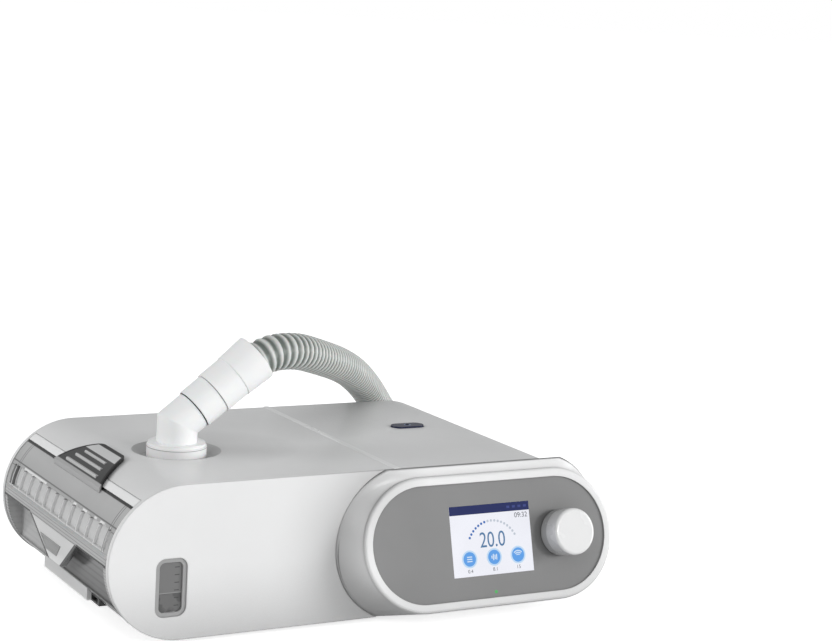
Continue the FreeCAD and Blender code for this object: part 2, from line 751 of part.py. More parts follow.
# Level window.
rim_y = ("window_recess", "face_wall")
rim_x = ("window_place - window_width / 2 + run_gap", "window_place + window_width / 2 - run_gap")
rim_z = ("window_level - window_height / 2 + run_gap", "window_level + window_height / 2 - run_gap")
lens_x = ("window_place - window_width / 2 + window_rim", "window_place + window_width / 2 - window_rim")
lens_z = ("window_level - window_height / 2 + window_rim", "window_level + window_height / 2 - window_rim")
lens_round = "window_round - window_rim"
piece("window_frame",
      cut("window_frame", soft_panel("rim_outside", rim_x, rim_z, rim_y, "window_round - run_gap"),
                          soft_panel("rim_inside", lens_x, lens_z, ("-1", "face_wall + 1"), lens_round)))
glass_x = ("%s + run_gap" % lens_x[0], "%s - run_gap" % lens_x[1])
glass_z = ("%s + run_gap" % lens_z[0], "%s - run_gap" % lens_z[1])
piece("window_lens", soft_panel("window_lens", glass_x, glass_z,
                                ("face_wall - window_lens", "face_wall"), lens_round + " - run_gap"))

# Outlet port, its air chamber, and the elbow that swivels in it.
port_bore = "tube_radius + run_gap"
port_out = "tube_radius + port_wall"
port_low = "body_height - dish_depth - socket_depth"
piece("outlet_port", place(turned("outlet_port", [
    (port_bore, port_low), (port_out, port_low), (port_out, "body_height - dish_depth"),
    ("flange_radius", "body_height - dish_depth"),
    ("flange_radius", "body_height + flange_rise - flange_step"),
    ("flange_radius - flange_step / 2", "body_height + flange_rise - flange_step"),
    ("flange_radius - flange_step / 2", "body_height + flange_rise"),
    (port_bore, "body_height + flange_rise")]), "outlet_place", "outlet_back", "0"))
chamber_x = ("dock_end", "outlet_place + %s" % port_out)
chamber_y = ("outlet_back - %s" % port_out, "outlet_back + %s" % port_out)
chamber_z = ("port_height - port_radius - 2 * tube_wall", port_low)
chamber_in = [("%s + tube_wall" % low, "%s - tube_wall" % high)
              for low, high in (chamber_x, chamber_y, chamber_z)]
piece("outlet_duct", cut(
    "outlet_duct", block("duct_box", chamber_x, chamber_y, chamber_z), block("duct_inside", *chamber_in),
    rod("duct_top_hole", "z", ("outlet_place", "outlet_back", "port_height"), "spigot_radius - tube_wall",
        "body_height"),
    rod("duct_side_hole", "x", ("dock_end - 1", "outlet_back", "port_height"), "port_radius - tube_wall",
        "tube_wall + 2")))

elbow_spot = ("outlet_place", "outlet_back", "bend_height")
spigot_low = "%s + fit_gap" % port_low
upright = rod("elbow_upright", "z", ("outlet_place", "outlet_back", spigot_low), "tube_radius",
              "bend_height + tube_radius - (%s)" % spigot_low)


def arm_rod(name, radius, start, end):
    spot = ("outlet_place + (%s) * sin(arm_turn)" % start, "outlet_back",
            "bend_height + (%s) * cos(arm_turn)" % start)
    thing = rod(name, "z", spot, radius, "(%s) - (%s)" % (end, start))
    return place(thing, *spot, (0, 1, 0), "arm_turn")


def mitre_half(name, low):
    # A big block on one side of the plane that halves the elbow's turn.
    thing = doc.addObject("Part::Box", name)
    side = "4 * body_height"
    bind(thing, {"Length": side, "Width": side, "Height": side})
    drop = "(%s) * body_height * 4" % low
    return place(thing,
                 "outlet_place - 2 * body_height * cos(arm_turn / 2) + %s * sin(arm_turn / 2)" % drop,
                 "outlet_back - 2 * body_height",
                 "bend_height + 2 * body_height * sin(arm_turn / 2) + %s * cos(arm_turn / 2)" % drop,
                 (0, 1, 0), "arm_turn / 2")


elbow_low = common("elbow_low", upright, mitre_half("mitre_low", "-1"))
elbow_high = common("elbow_high", arm_rod("elbow_arm", "tube_radius", "0 - tube_radius", "arm_length"),
                    mitre_half("mitre_high", "0"))
elbow_bores = [rod("elbow_bore", "z", ("outlet_place", "outlet_back", "0"), "tube_radius - tube_wall",
                   "bend_height"),
               arm_rod("elbow_arm_bore", "spigot_bore", "0", "spigot_end + 1")]
bend_ball = doc.addObject("Part::Sphere", "elbow_bend_ball")
bind(bend_ball, {"Radius": "tube_radius - tube_wall"})
place(bend_ball, *elbow_spot)
piece("elbow", cut("elbow", fuse("elbow_walls", elbow_low, elbow_high,
                                 arm_rod("elbow_spigot", "spigot_radius", "0", "spigot_end")),
                   *elbow_bores, bend_ball))

collar_bore = "spigot_radius + run_gap"
piece("cuff_collar", turned("cuff_collar", [
    (collar_bore, "collar_start"), ("collar_radius", "collar_start"), ("collar_radius", "collar_end"),
    (collar_bore, "collar_end")]), "arm")
hose_socket = "hose_radius + fit_gap"
piece("hose_cuff", turned("hose_cuff", [
    ("hose_bore", "cuff_start"), ("cuff_radius", "cuff_start"), ("cuff_radius", "cuff_step"),
    ("cuff_radius + fit_gap", "cuff_step"), ("cuff_mouth_radius", "cuff_end"), (hose_socket, "cuff_end"),
    (hose_socket, "socket_stop"), ("hose_bore", "socket_stop")]), "arm")

# Blower shell.
main_front = "pod_seat"
main_side = ("pod_seat + face_wall", "body_depth - face_wall")
main_skin = cut("main_skin",
                right_round("main_outside", "end_radius", "right_start_x", main_front, "body_depth"),
                right_round("main_inside", "end_radius - shell_wall", "main_inside_x", *main_side))
board_posts = []
switch_half = "button_length / 2 + post_radius"
for side in ("-", "+"):
    spot = ("button_place %s (%s)" % (side, switch_half), "button_back", "switch_board + board_wall")
    board_posts.append(rod("switch_post", "z", spot, "post_radius / 2",
                           "body_height - shell_wall - switch_board - board_wall"))
filter_x = ("filter_place - filter_width / 2", "filter_place + filter_width / 2")
filter_z = ("filter_level - filter_height / 2", "filter_level + filter_height / 2")


def grown(span, extra):
    return ("%s - (%s)" % (span[0], extra), "%s + (%s)" % (span[1], extra))


filter_box = block("filter_box", grown(filter_x, "shell_wall"),
                   ("filter_front", "body_depth - face_wall"), grown(filter_z, "shell_wall"))
front_hole = block("pod_opening",
                   ("face_place - display_width / 2 + opening_edge",
                    "face_place + display_width / 2 + opening_reach"),
                   ("0", "pod_seat + face_wall + 1"),
                   ("face_level - opening_down", "face_level + opening_up"))
button_hole = pill("button_hole", "button_length / 2 - button_width / 2", "button_width / 2 + fit_gap",
                   "body_height - 2 * shell_wall", "body_height + 1", ("button_place", "button_back"))
piece("main_cover", cut(
    "main_cover", fuse("main_walls", main_skin, filter_box, *posts("main_post", main_posts), *board_posts),
    block("main_floor", ("main_inside_x", "round_place"), main_side, ("-1", "shell_wall + fit_gap / 2")),
    front_hole, button_hole,
    block("filter_opening", grown(filter_x, "fit_gap"), ("filter_front - 1", "body_depth + 1"),
          grown(filter_z, "fit_gap")),
    rod("inlet_hole", "y", ("inlet_place", "body_depth - 2 * face_wall", "inlet_level"),
        "inlet_radius + fit_gap",
        "3 * face_wall"),
    rod("duct_hole", "x", ("right_start_x - 1", "duct_back", "duct_height"), "duct_radius + fit_gap",
        "2 * shell_wall"),
    *post_holes("main_post_hole", main_posts)))

main_slab_side = ("pod_seat + inside_front", "inside_back")
board_x = ("board_place", "board_place + board_length")
board_y = ("board_front", "board_front + board_depth")
standoffs = [rod("standoff", "z", (x, y, "shell_wall / 2"), "post_radius / 2",
                 "board_height - shell_wall / 2")
             for x in ("board_place + post_radius", "board_place + board_length - post_radius")
             for y in ("board_front + post_radius", "board_front + board_depth - post_radius")]
main_slab = block("main_slab", ("main_inside_x + fit_gap", "round_place - fit_gap"), main_slab_side,
                  ("0", "shell_wall"))
piece("main_base", cut("main_base", fuse("main_base_whole", main_slab, *standoffs),
                       *base_holes("main_base_hole", main_posts)))

feet = []
for x in ("end_radius + foot_inset / 2", "left_end_x - 2 * foot_inset", "main_inside_x + 2 * foot_inset",
          "round_place - 2 * foot_inset"):
    for y in ("inside_front + foot_inset + foot_radius", "inside_back - foot_inset - foot_radius"):
        foot = turned("foot",
                      [("0", "0"), ("foot_radius - foot_height / 4", "0"),
                       ("foot_radius", "foot_height / 4"),
                               ("foot_radius", "foot_height"), ("0", "foot_height")])
        feet.append(place(foot, x, y, "floor_level"))
piece("feet", group("feet", feet))

screws = []
for x, y in humidifier_posts + main_posts:
    screw = turned("base_screw",
                   [("0", "0"), ("screw_head_radius", "0"), ("screw_head_radius", "screw_head_height"),
                                  ("screw_radius", "screw_head_height"), ("screw_radius", "screw_length"),
                                  ("0", "screw_length")])
    screws.append(place(screw, x, y, "0"))
piece("base_screws", group("base_screws", screws))

# Start button with its switch, on a small board under the top.
pill_half = "button_length / 2 - button_width / 2"
piece("start_button", fuse(
    "start_button",
    pill("button_cap", pill_half, "button_width / 2", "button_floor", "body_height + button_rise",
         ("button_place", "button_back")),
    pill("button_flange", pill_half, "button_width / 2 + button_lip", "button_floor",
         "button_floor + button_lip",
         ("button_place", "button_back"))))
switch_side = ("%s - switch_width / 2", "%s + switch_width / 2")
piece("button_switch", block("button_switch", tuple(text % "button_place" for text in switch_side),
                             tuple(text % "button_back" for text in switch_side),
                             ("switch_floor", "switch_top")))
piece("button_board",
      block("button_board", grown(("button_place", "button_place"), switch_half + " + post_radius"),
                            grown(("button_back", "button_back"), "button_width"),
                            ("switch_board", "switch_floor")))

# Blower: a volute with its lid, the impeller on the motor's shaft, and a silicone mount.
blower_in = "blower_radius - blower_wall"
volute = place(turned("volute", [
    ("hub_radius", "blower_floor"), ("blower_radius", "blower_floor"), ("blower_radius", "blower_roof"),
    (blower_in, "blower_roof"), (blower_in, "blower_floor + blower_wall"),
    ("hub_radius", "blower_floor + blower_wall")]),
    "blower_place", "blower_back", "0")
piece("blower_housing", cut("blower_housing", volute, rod(
    "volute_mouth", "x", ("blower_place - blower_radius - 1", "duct_back", "duct_height"), "duct_bore",
    "blower_radius")))
piece("blower_lid", place(turned("blower_lid", [
    ("blower_inlet", "blower_roof"), ("blower_radius", "blower_roof"),
    ("blower_radius", "blower_roof + blower_wall"),
    ("blower_inlet", "blower_roof + blower_wall")]), "blower_place", "blower_back", "0"))
shaft_hole = "motor_shaft + run_gap"
piece("blower_motor", place(turned("blower_motor", [
    ("0", "motor_floor"), ("motor_radius", "motor_floor"), ("motor_radius", "motor_roof"),
    (shaft_hole, "motor_roof"),
    (shaft_hole, "motor_floor + blower_wall"), ("0", "motor_floor + blower_wall")]),
    "blower_place", "blower_back", "0"))
piece("blower_mount", place(turned("blower_mount", [
    ("motor_radius - mount_wall", "shell_wall"), ("motor_radius + mount_wall", "shell_wall"),
    ("motor_radius + mount_wall", "motor_floor + 2 * mount_wall"),
    ("motor_radius + fit_gap", "motor_floor + 2 * mount_wall"),
    ("motor_radius + fit_gap", "motor_floor"), ("motor_radius - mount_wall", "motor_floor")]),
    "blower_place", "blower_back", "0"))
piece("motor_shaft", place(turned("motor_shaft", [
    ("0", "motor_floor + blower_wall + fit_gap"), ("motor_shaft", "motor_floor + blower_wall + fit_gap"),
    ("motor_shaft", "impeller_floor + impeller_height"), ("0", "impeller_floor + impeller_height")]),
    "blower_place", "blower_back", "0"))
blade_root = "hub_radius - 1"
blades = []
for index in range(int(sizes["blade_count"])):
    blade = doc.addObject("Part::Box", "blade")
    bind(blade, {"Length": "impeller_radius - fit_gap - (%s)" % blade_root, "Width": "blade_wall",
                 "Height": "impeller_height - impeller_plate"})
    angle = "%d * 360 / blade_count" % index
    blades.append(place(blade, "blower_place + (%s) * cos(%s)" % (blade_root, angle),
                        "blower_back + (%s) * sin(%s)" % (blade_root, angle),
                        "impeller_floor + impeller_plate",
                        (0, 0, 1), angle))
impeller_hub = place(turned("impeller_hub", [
    ("motor_shaft + run_gap / 2", "impeller_floor"), ("impeller_radius", "impeller_floor"),
    ("impeller_radius", "impeller_floor + impeller_plate"),
    ("hub_radius", "impeller_floor + impeller_plate"),
    ("hub_radius", "impeller_floor + impeller_height"),
    ("motor_shaft + run_gap / 2", "impeller_floor + impeller_height")]), "blower_place", "blower_back", "0")
piece("impeller", fuse("impeller", impeller_hub, *blades))
duct_run = "blower_place - dock_end"
piece("air_duct", cut(
    "air_duct", rod("duct_outside", "x", ("dock_end", "duct_back", "duct_height"), "duct_radius", duct_run),
    rod("duct_bore", "x", ("dock_end - 1", "duct_back", "duct_height"), "duct_bore", duct_run + " + 2"),
    rod("duct_end_cut", "z", ("blower_place", "blower_back", "0"), "blower_radius + run_gap",
        "body_height")))

# Rear air filter with its slotted cover, the sound-damping block, the power inlet and the main board.
piece("air_filter",
      block("air_filter", filter_x, ("filter_front", "filter_front + filter_depth"), filter_z))
cover_slots = []
for index in range(int(sizes["slot_count"])):
    level = "filter_level + (%d - (slot_count - 1) / 2) * slot_pitch" % index
    cover_slots.append(block("cover_slot",
                             ("filter_place - slot_half", "filter_place + slot_half"),
                             ("filter_front", "body_depth + 1"),
                             ("%s - slot_height / 2" % level, "%s + slot_height / 2" % level)))
piece("filter_cover",
      cut("filter_cover", block("filter_cover_plate", filter_x, ("body_depth - cover_wall", "body_depth"),
                                                filter_z), *cover_slots))
muffler_left = "blower_place + blower_radius + fit_gap"
piece("inlet_muffler", block("inlet_muffler", (muffler_left, muffler_left + " + muffler_width"),
                             ("filter_front - muffler_length", "filter_front - fit_gap"),
                             ("end_radius - muffler_height / 2", "end_radius + muffler_height / 2")))
inlet_box = block("inlet_box", grown(("inlet_place", "inlet_place"), "inlet_width / 2"),
                  ("body_depth - face_wall - inlet_width", "body_depth - face_wall"),
                  grown(("inlet_level", "inlet_level"), "inlet_width / 2"))
inlet_barrel = rod("inlet_barrel", "y", ("inlet_place", "body_depth - 2 * face_wall", "inlet_level"),
                   "inlet_radius",
                   "2 * face_wall")
inlet_hole = rod("inlet_bore", "y", ("inlet_place", "body_depth - inlet_depth", "inlet_level"),
                 "inlet_bore",
                 "inlet_depth + 1")
inlet_pin = rod("inlet_pin", "y", ("inlet_place", "body_depth - inlet_depth - 1", "inlet_level"),
                "inlet_pin", "inlet_depth")
piece("power_inlet",
      fuse("power_inlet", cut("inlet_shell", fuse("inlet_whole", inlet_box, inlet_barrel), inlet_hole),
                          inlet_pin))
board_top = "board_height + board_wall"
piece("main_board", block("main_board", board_x, board_y, ("board_height", board_top)))


def board_spot(column, row):
    # A place on the board's grid of columns and rows.
    return "board_place + %s * board_column" % column, "board_front + %s * board_row" % row


def board_block(name, low, high, height):
    (left, front), (right, back) = board_spot(*low), board_spot(*high)
    return block(name, (left, right), (front, back), (board_top, "%s + %s" % (board_top, height)))


board_parts = [board_block("heat_sink", (2, 2), (7.5, 5.5), "sink_height"),
               board_block("connector", (9.5, 1.5), (13.5, 3.5), "connector_height"),
               board_block("controller_chip", (10, 6), (13.5, 9.5), "chip_height")]
for spot in (board_spot(3, 9), board_spot(6.5, 9)):
    board_parts.append(rod("capacitor", "z", (*spot, board_top), "capacitor_radius", "capacitor_height"))
piece("board_parts", group("board_parts", board_parts))

# Control pod. Its face is tilted back: pieces on it are built flat, with Z out of the face.
face_half = "face_span / 2"
screen_half = ("screen_width / 2", "screen_height / 2")
panel_screen = block("panel_screen", grown(("0", "0"), screen_half[0] + " + run_gap"),
                     grown(("0", "0"), screen_half[1] + " + run_gap"), ("-2 * panel_wall", "panel_wall"))
knob_spot = ("knob_place", "knob_level")
piece("control_panel", cut(
    "control_panel", pill("panel_plate", face_half, "panel_radius - run_gap", "0 - panel_wall", "0"),
    panel_screen,
    rod("panel_knob_hole", "z", (*knob_spot, "-2 * panel_wall"), "bushing_radius + run_gap",
        "3 * panel_wall"),
    rod("panel_light_hole", "z", ("0", "0 - light_level", "-2 * panel_wall"), "light_radius + run_gap",
        "3 * panel_wall")),
    "pod")
piece("screen_lens",
      block("screen_lens", grown(("0", "0"), screen_half[0]), grown(("0", "0"), screen_half[1]),
                           ("0 - lens_wall", "0")), "pod")
piece("screen_module", block("screen_module", grown(("0", "0"), screen_half[0] + " + screen_border"),
                             grown(("0", "0"), screen_half[1] + " + screen_border"),
                             ("board_level", "panel_back")), "pod")
piece("display_board",
      block("display_board", ("display_shift - display_width / 2", "display_shift + display_width / 2"),
                             grown(("0", "0"), "display_height / 2"),
                             ("board_level - board_wall", "board_level")), "pod")
piece("status_light",
      rod("status_light", "z", ("0", "0 - light_level", "0 - panel_wall"), "light_radius",
          "panel_wall + run_gap"),
      "pod")
encoder_box = block("encoder_box", grown(("knob_place", "knob_place"), "encoder_width / 2"),
                    grown(("knob_level", "knob_level"), "encoder_width / 2"), ("board_level", "panel_back"))
shaft_low = "panel_back - shaft_root"
plunger_low = "%s - plunger_length" % shaft_low
piece("rotary_encoder", cut(
    "rotary_encoder", fuse("encoder_whole", encoder_box,
                           rod("bushing", "z", (*knob_spot, "panel_back - 1"), "bushing_radius",
                               "1 - (panel_back) + bushing_rise")),
    rod("bushing_bore", "z", (*knob_spot, plunger_low + " - plunger_travel - fit_gap"),
        "shaft_radius + run_gap", "knob_height * 2")),
    "pod")
piece("encoder_plunger",
      rod("encoder_plunger", "z", (*knob_spot, plunger_low), "shaft_radius - fit_gap", "plunger_length"),
      "pod")
piece("encoder_shaft", rod("encoder_shaft", "z", (*knob_spot, shaft_low), "shaft_radius", "shaft_length"),
      "pod")
socket_top = "%s + shaft_length + fit_gap" % shaft_low
shaft_socket = "shaft_radius + run_gap / 2"
knob_boss = "shaft_radius + knob_wall"
knob_edge = [("knob_radius - knob_round * (1 - cos(%s))" % turn,
              "knob_height - knob_round * (1 - sin(%s))" % turn)
             for turn in ("0", "25", "50", "(90 - face_tilt)", "90")]
knob_body = turned("knob", [
    (shaft_socket, "knob_lift + bushing_rise"), (knob_boss, "knob_lift + bushing_rise"),
    (knob_boss, "knob_height - 2 * knob_wall"), ("knob_radius - knob_wall", "knob_height - 2 * knob_wall"),
    ("knob_radius - knob_wall", "knob_lift"), ("knob_radius", "knob_lift"), *knob_edge,
    ("0", "knob_height"), ("0", socket_top), (shaft_socket, socket_top)])
piece("knob", place(knob_body, *knob_spot, "0"), "pod")


def pod_point(across, up, out):
    # A point on the tilted face, from its middle.
    tilt = math.radians(number("face_tilt"))
    return FreeCAD.Vector(number("face_place") + across,
                          up * math.sin(tilt) - out * math.cos(tilt) - number("face_front"),
                          number("face_level") + up * math.cos(tilt) + out * math.sin(tilt))


def ring_wire(points):
    # Top line, right arc, bottom line and left arc through six points.
    top_left, top_right, right, low_right, low_left, left = points
    edges = [Part.LineSegment(top_left, top_right).toShape(),
             Part.Arc(top_right, right, low_right).toShape(),
             Part.LineSegment(low_right, low_left).toShape(), Part.Arc(low_left, left, top_left).toShape()]
    return Part.Wire(edges)


def face_ring(radius, out):
    half = number("face_span") / 2
    return ring_wire([pod_point(-half, radius, out), pod_point(half, radius, out),
                      pod_point(half + radius, 0, out),
                      pod_point(half, -radius, out), pod_point(-half, -radius, out),
                      pod_point(-half - radius, 0, out)])


def seat_ring(inset, y):
    # The pod's foot on the shells: its round ends are cut off level with their top and underside.
    radius = number("pod_arc_radius") - inset
    middle = number("end_radius")
    rise = middle - inset
    reach_x = math.sqrt(radius ** 2 - rise ** 2)
    left = number("pod_arc_place")
    right = number("pod_right - pod_base_margin - pod_arc_radius")
    corner = FreeCAD.Vector
    return ring_wire([corner(left - reach_x, y, middle + rise), corner(right + reach_x, y, middle + rise),
                      corner(right + radius, y, middle), corner(right + reach_x, y, middle - rise),
                      corner(left - reach_x, y, middle - rise), corner(left - radius, y, middle)])


def skinned(outer, inner):
    # A hollow solid between two runs of rings whose first and last rings lie in the same planes.
    faces = [face for rings in (outer, inner) for pair in zip(rings, rings[1:])
             for face in Part.makeLoft(list(pair), False, True).Faces]
    faces += [Part.Face([outer[spot], inner[spot]], "Part::FaceMakerBullseye") for spot in (0, -1)]
    shell = Part.makeShell(faces)
    shell.sewShape()
    return Part.makeSolid(shell)


seat = number("pod_seat")
ring = number("ring_radius")
rise = number("ring_rise")
edge_round = number("pod_round")
shoulder = number("pod_shoulder")
panel_hole = number("panel_radius")
pod_wall = number("pod_wall")
rim_steps = [face_ring(ring - edge_round * (1 - math.sin(turn)), rise - edge_round * (1 - math.cos(turn)))
             for turn in (math.radians(step) for step in (0, 30, 60, 90))]
pod_outer = rim_steps + [face_ring(ring, rise - shoulder), seat_ring(0, seat)]
pod_inner = [face_ring(panel_hole, rise), face_ring(panel_hole, -number("panel_wall")),
             seat_ring(pod_wall, seat)]
shape_piece("pod_bezel", skinned(pod_outer, pod_inner))

# Hose: its route is a list of points from the cuff's stop, over the back edge and down to the coil.
arm_way = vector("sin(arm_turn)", "0", "cos(arm_turn)")
bend_spot = vector("outlet_place", "outlet_back", "bend_height")
lay = number("lay_height - foot_height")
route = [bend_spot + arm_way * number("socket_stop"),
         bend_spot + arm_way * number("hose_lead"),
         FreeCAD.Vector(148.0, 86.0, 132.0),
         FreeCAD.Vector(181.0, 115.0, 121.0),
         FreeCAD.Vector(217.0, 155.0, 108.0),
         FreeCAD.Vector(250.0, 197.0, 84.0),
         FreeCAD.Vector(278.0, 226.0, 56.0),
         FreeCAD.Vector(308.0, 248.0, 37.0),
         FreeCAD.Vector(333.0, 271.0, 21.0),
         FreeCAD.Vector(344.0, 304.0, 11.5),
         FreeCAD.Vector(347.0, 340.0, lay),
         FreeCAD.Vector(336.0, 376.0, lay),
         FreeCAD.Vector(313.0, 404.0, lay),
         FreeCAD.Vector(282.0, 420.0, lay),
         FreeCAD.Vector(249.0, 424.0, lay),
         FreeCAD.Vector(222.8, 424.0, lay)]


def rounded_path(points):
    # Straight runs joined by tangent arcs, each as large as its two runs allow.
    edges = []
    radii = []
    start = points[0]
    for before, corner, after in zip(points, points[1:], points[2:]):
        way_in = (corner - before).normalize()
        way_out = (after - corner).normalize()
        half_turn = way_in.getAngle(way_out) / 2
        length = 0.45 * min(before.distanceToPoint(corner), corner.distanceToPoint(after))
        radius = length / math.tan(half_turn)
        arc_in = corner - way_in * length
        arc_out = corner + way_out * length
        inward = (way_out - way_in).normalize()
        arc_middle = corner + inward * (radius / math.cos(half_turn) - radius)
        edges.append(Part.LineSegment(start, arc_in).toShape())
        edges.append(Part.Arc(arc_in, arc_middle, arc_out).toShape())
        radii.append(round(radius, 1))
        start = arc_out
    edges.append(Part.LineSegment(start, points[-1]).toShape())
    return edges, radii


run_edges, run_radii = rounded_path(route)
run_length = sum(edge.Length for edge in run_edges)
hose_radius = number("hose_radius")
hose_bore = number("hose_bore")
root_radius = number("rib_root_radius")
print("hose run radii", run_radii, "run length", round(run_length, 1))


def station(distance):
    # Place along the run, with a steady cross axis.
    for edge in run_edges:
        if distance <= edge.Length or edge is run_edges[-1]:
            spot = edge.getParameterByLength(min(distance, edge.Length))
            along = edge.tangentAt(spot)
            across = FreeCAD.Vector(0.7, -0.7, 0.1)
            side = (across - along * across.dot(along)).normalize()
            return FreeCAD.Placement(edge.valueAt(spot),
                                     FreeCAD.Rotation(side, along.cross(side), along, "ZXY"))
        distance -= edge.Length


def circle_at(distance, radius):
    wire = Part.Wire(Part.makeCircle(radius))
    wire.Placement = station(distance)
    return wire


rib_count = int(run_length // number("rib_pitch"))
rib_step = run_length / rib_count
rib_form = [(0.0, root_radius), (0.25, hose_radius), (0.6, hose_radius), (0.85, root_radius)]
outer_rings = [circle_at((index + share) * rib_step, radius) for index in range(rib_count)
               for share, radius in rib_form]
outer_rings.append(circle_at(run_length, root_radius))
inner_rings = [circle_at(index * rib_step, hose_bore) for index in range(rib_count + 1)]
hose_solid = skinned(outer_rings, inner_rings)
slope_square = (hose_radius ** 2 + hose_radius * root_radius + root_radius ** 2) / 3
mean_square = 0.35 * hose_radius ** 2 + 0.15 * root_radius ** 2 + 0.5 * slope_square
mean_section = math.pi * (mean_square - hose_bore ** 2)
print("hose run ribs", rib_count, "volume", round(hose_solid.Volume), "section times length",
      round(mean_section * run_length))
shape_piece("hose_run", hose_solid)

# Coil: half turns that spiral in, a tighter turn inside the ring, and a straight tail for the end cuff.
tube = 2 * hose_radius
coil_radius = number("coil_radius")
coil_pitch = number("coil_pitch")
tail_radius = number("coil_tail_radius")
tail_turn = number("coil_tail_turn")
entry = route[-1]
lead_in = entry - FreeCAD.Vector(tube, 0, 0)
coil_middle = lead_in - FreeCAD.Vector(0, coil_radius, 0)


def round_edge(middle, radius, start_angle, sweep):
    angles = [math.radians(start_angle + sweep * share) for share in (0, 0.5, 1)]
    spots_on = [middle + FreeCAD.Vector(math.cos(angle), math.sin(angle), 0) * radius for angle in angles]
    return Part.Arc(*spots_on).toShape()


coil_edges = [Part.LineSegment(entry, lead_in).toShape()]
for turn in range(3):
    radius = coil_radius - turn * coil_pitch / 2
    middle = coil_middle - FreeCAD.Vector(0, coil_pitch / 2 if turn % 2 else 0, 0)
    coil_edges.append(round_edge(middle, radius, 90 + 180 * (turn % 2), 180))
tail_middle = coil_middle - FreeCAD.Vector(0, radius - tail_radius, 0)
coil_edges.append(round_edge(tail_middle, tail_radius, 270, tail_turn))
tail_start = coil_edges[-1].valueAt(coil_edges[-1].LastParameter)
tail_angle = math.radians(tail_turn)
tail_end = tail_start + FreeCAD.Vector(math.cos(tail_angle), math.sin(tail_angle), 0) * tube
coil_edges.append(Part.LineSegment(tail_start, tail_end).toShape())
coil_wire = Part.Wire(coil_edges)


def coil_tube(radius):
    ring_face = Part.Wire(Part.makeCircle(radius, entry, FreeCAD.Vector(1, 0, 0)))
    return coil_wire.makePipeShell([ring_face], True, False)


coil_solid = coil_tube(hose_radius).cut(coil_tube(hose_bore))
coil_section = math.pi * (hose_radius ** 2 - hose_bore ** 2)
samples = coil_wire.discretize(400)
far_apart = int(400 * 6 * tube / coil_wire.Length)
least = min(samples[a].distanceToPoint(samples[b]) for a in range(400)
            for b in range(a + far_apart, 400)) - tube
print("coil least gap", round(least, 2), "volume", round(coil_solid.Volume), "section times length",
      round(coil_section * coil_wire.Length), "hose length", round(run_length + coil_wire.Length))
shape_piece("hose_coil", coil_solid)

tie_inside = hose_radius + number("fit_gap")
tie_outside = tie_inside + number("tie_wall")
tie_width = number("tie_width")
tie_spot = coil_middle - FreeCAD.Vector(coil_radius, tie_width / 2, 0)


def tie_form(radius):
    low, high = FreeCAD.Vector(0, 0, -radius), FreeCAD.Vector(0, 0, radius)
    side = FreeCAD.Vector(radius, 0, 0)
    far = tie_spot + FreeCAD.Vector(coil_pitch, 0, 0)
    edges = [Part.Arc(tie_spot + low, tie_spot - side, tie_spot + high).toShape(),
             Part.LineSegment(tie_spot + high, far + high).toShape(),
             Part.Arc(far + high, far + side, far + low).toShape(),
             Part.LineSegment(far + low, tie_spot + low).toShape()]
    return Part.Face(Part.Wire(edges)).extrude(FreeCAD.Vector(0, tie_width, 0))


shape_piece("hose_tie", tie_form(tie_outside).cut(tie_form(tie_inside)))

end_cuff = turned("hose_end_cuff", [
    ("hose_bore", "0"), ("end_cuff_radius - end_cuff_step", "0"),
    ("end_cuff_radius - end_cuff_step", "end_cuff_length - end_cuff_grip"),
    ("end_cuff_radius", "end_cuff_length - end_cuff_grip + end_cuff_step"),
    ("end_cuff_radius", "end_cuff_length"),
    ("end_cuff_bore", "end_cuff_length"), ("end_cuff_bore", "end_cuff_length - end_cuff_socket"),
    ("hose_bore", "end_cuff_length - end_cuff_socket")])
place(end_cuff, repr(tail_end.x), repr(tail_end.y), "lay_height - foot_height",
      ("0 - sin(coil_tail_turn)", "cos(coil_tail_turn)", "0"), "90")
piece("hose_end_cuff", end_cuff)

doc.recompute()
faults = [thing.Label for thing in doc.Objects if {"Invalid", "Error"} & set(thing.State)]
faults += [thing.Label for thing in pieces
           if thing.Shape.isNull() or not thing.Shape.isValid() or thing.Shape.Volume <= 0]
if faults:
    raise RuntimeError("these failed: " + ", ".join(faults))
os.makedirs("parts", exist_ok=True)
for thing in pieces:
    thing.Shape.exportStep(os.path.join("parts", thing.Label + ".step"))
print(len(pieces), "pieces written")
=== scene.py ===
import bpy
import bmesh
from math import copysign, cos, pi, radians, sin
from mathutils import Matrix, Vector


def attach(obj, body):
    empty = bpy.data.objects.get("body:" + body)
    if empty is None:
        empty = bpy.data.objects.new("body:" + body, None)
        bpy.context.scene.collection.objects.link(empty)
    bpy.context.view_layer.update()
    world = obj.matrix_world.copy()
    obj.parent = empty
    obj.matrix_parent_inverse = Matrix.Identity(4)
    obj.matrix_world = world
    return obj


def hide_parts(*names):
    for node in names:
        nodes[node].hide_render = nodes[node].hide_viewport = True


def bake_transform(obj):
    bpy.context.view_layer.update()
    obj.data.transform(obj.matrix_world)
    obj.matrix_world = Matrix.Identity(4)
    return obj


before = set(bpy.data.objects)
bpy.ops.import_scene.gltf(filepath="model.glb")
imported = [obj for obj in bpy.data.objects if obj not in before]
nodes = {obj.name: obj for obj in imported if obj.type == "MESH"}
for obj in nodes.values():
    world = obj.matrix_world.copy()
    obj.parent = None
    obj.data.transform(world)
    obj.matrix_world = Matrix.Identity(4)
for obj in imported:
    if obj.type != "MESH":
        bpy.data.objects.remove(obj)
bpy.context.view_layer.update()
scene = bpy.context.scene
scene.view_settings.view_transform = "Standard"
print("frame loaded,", len(nodes), "nodes")

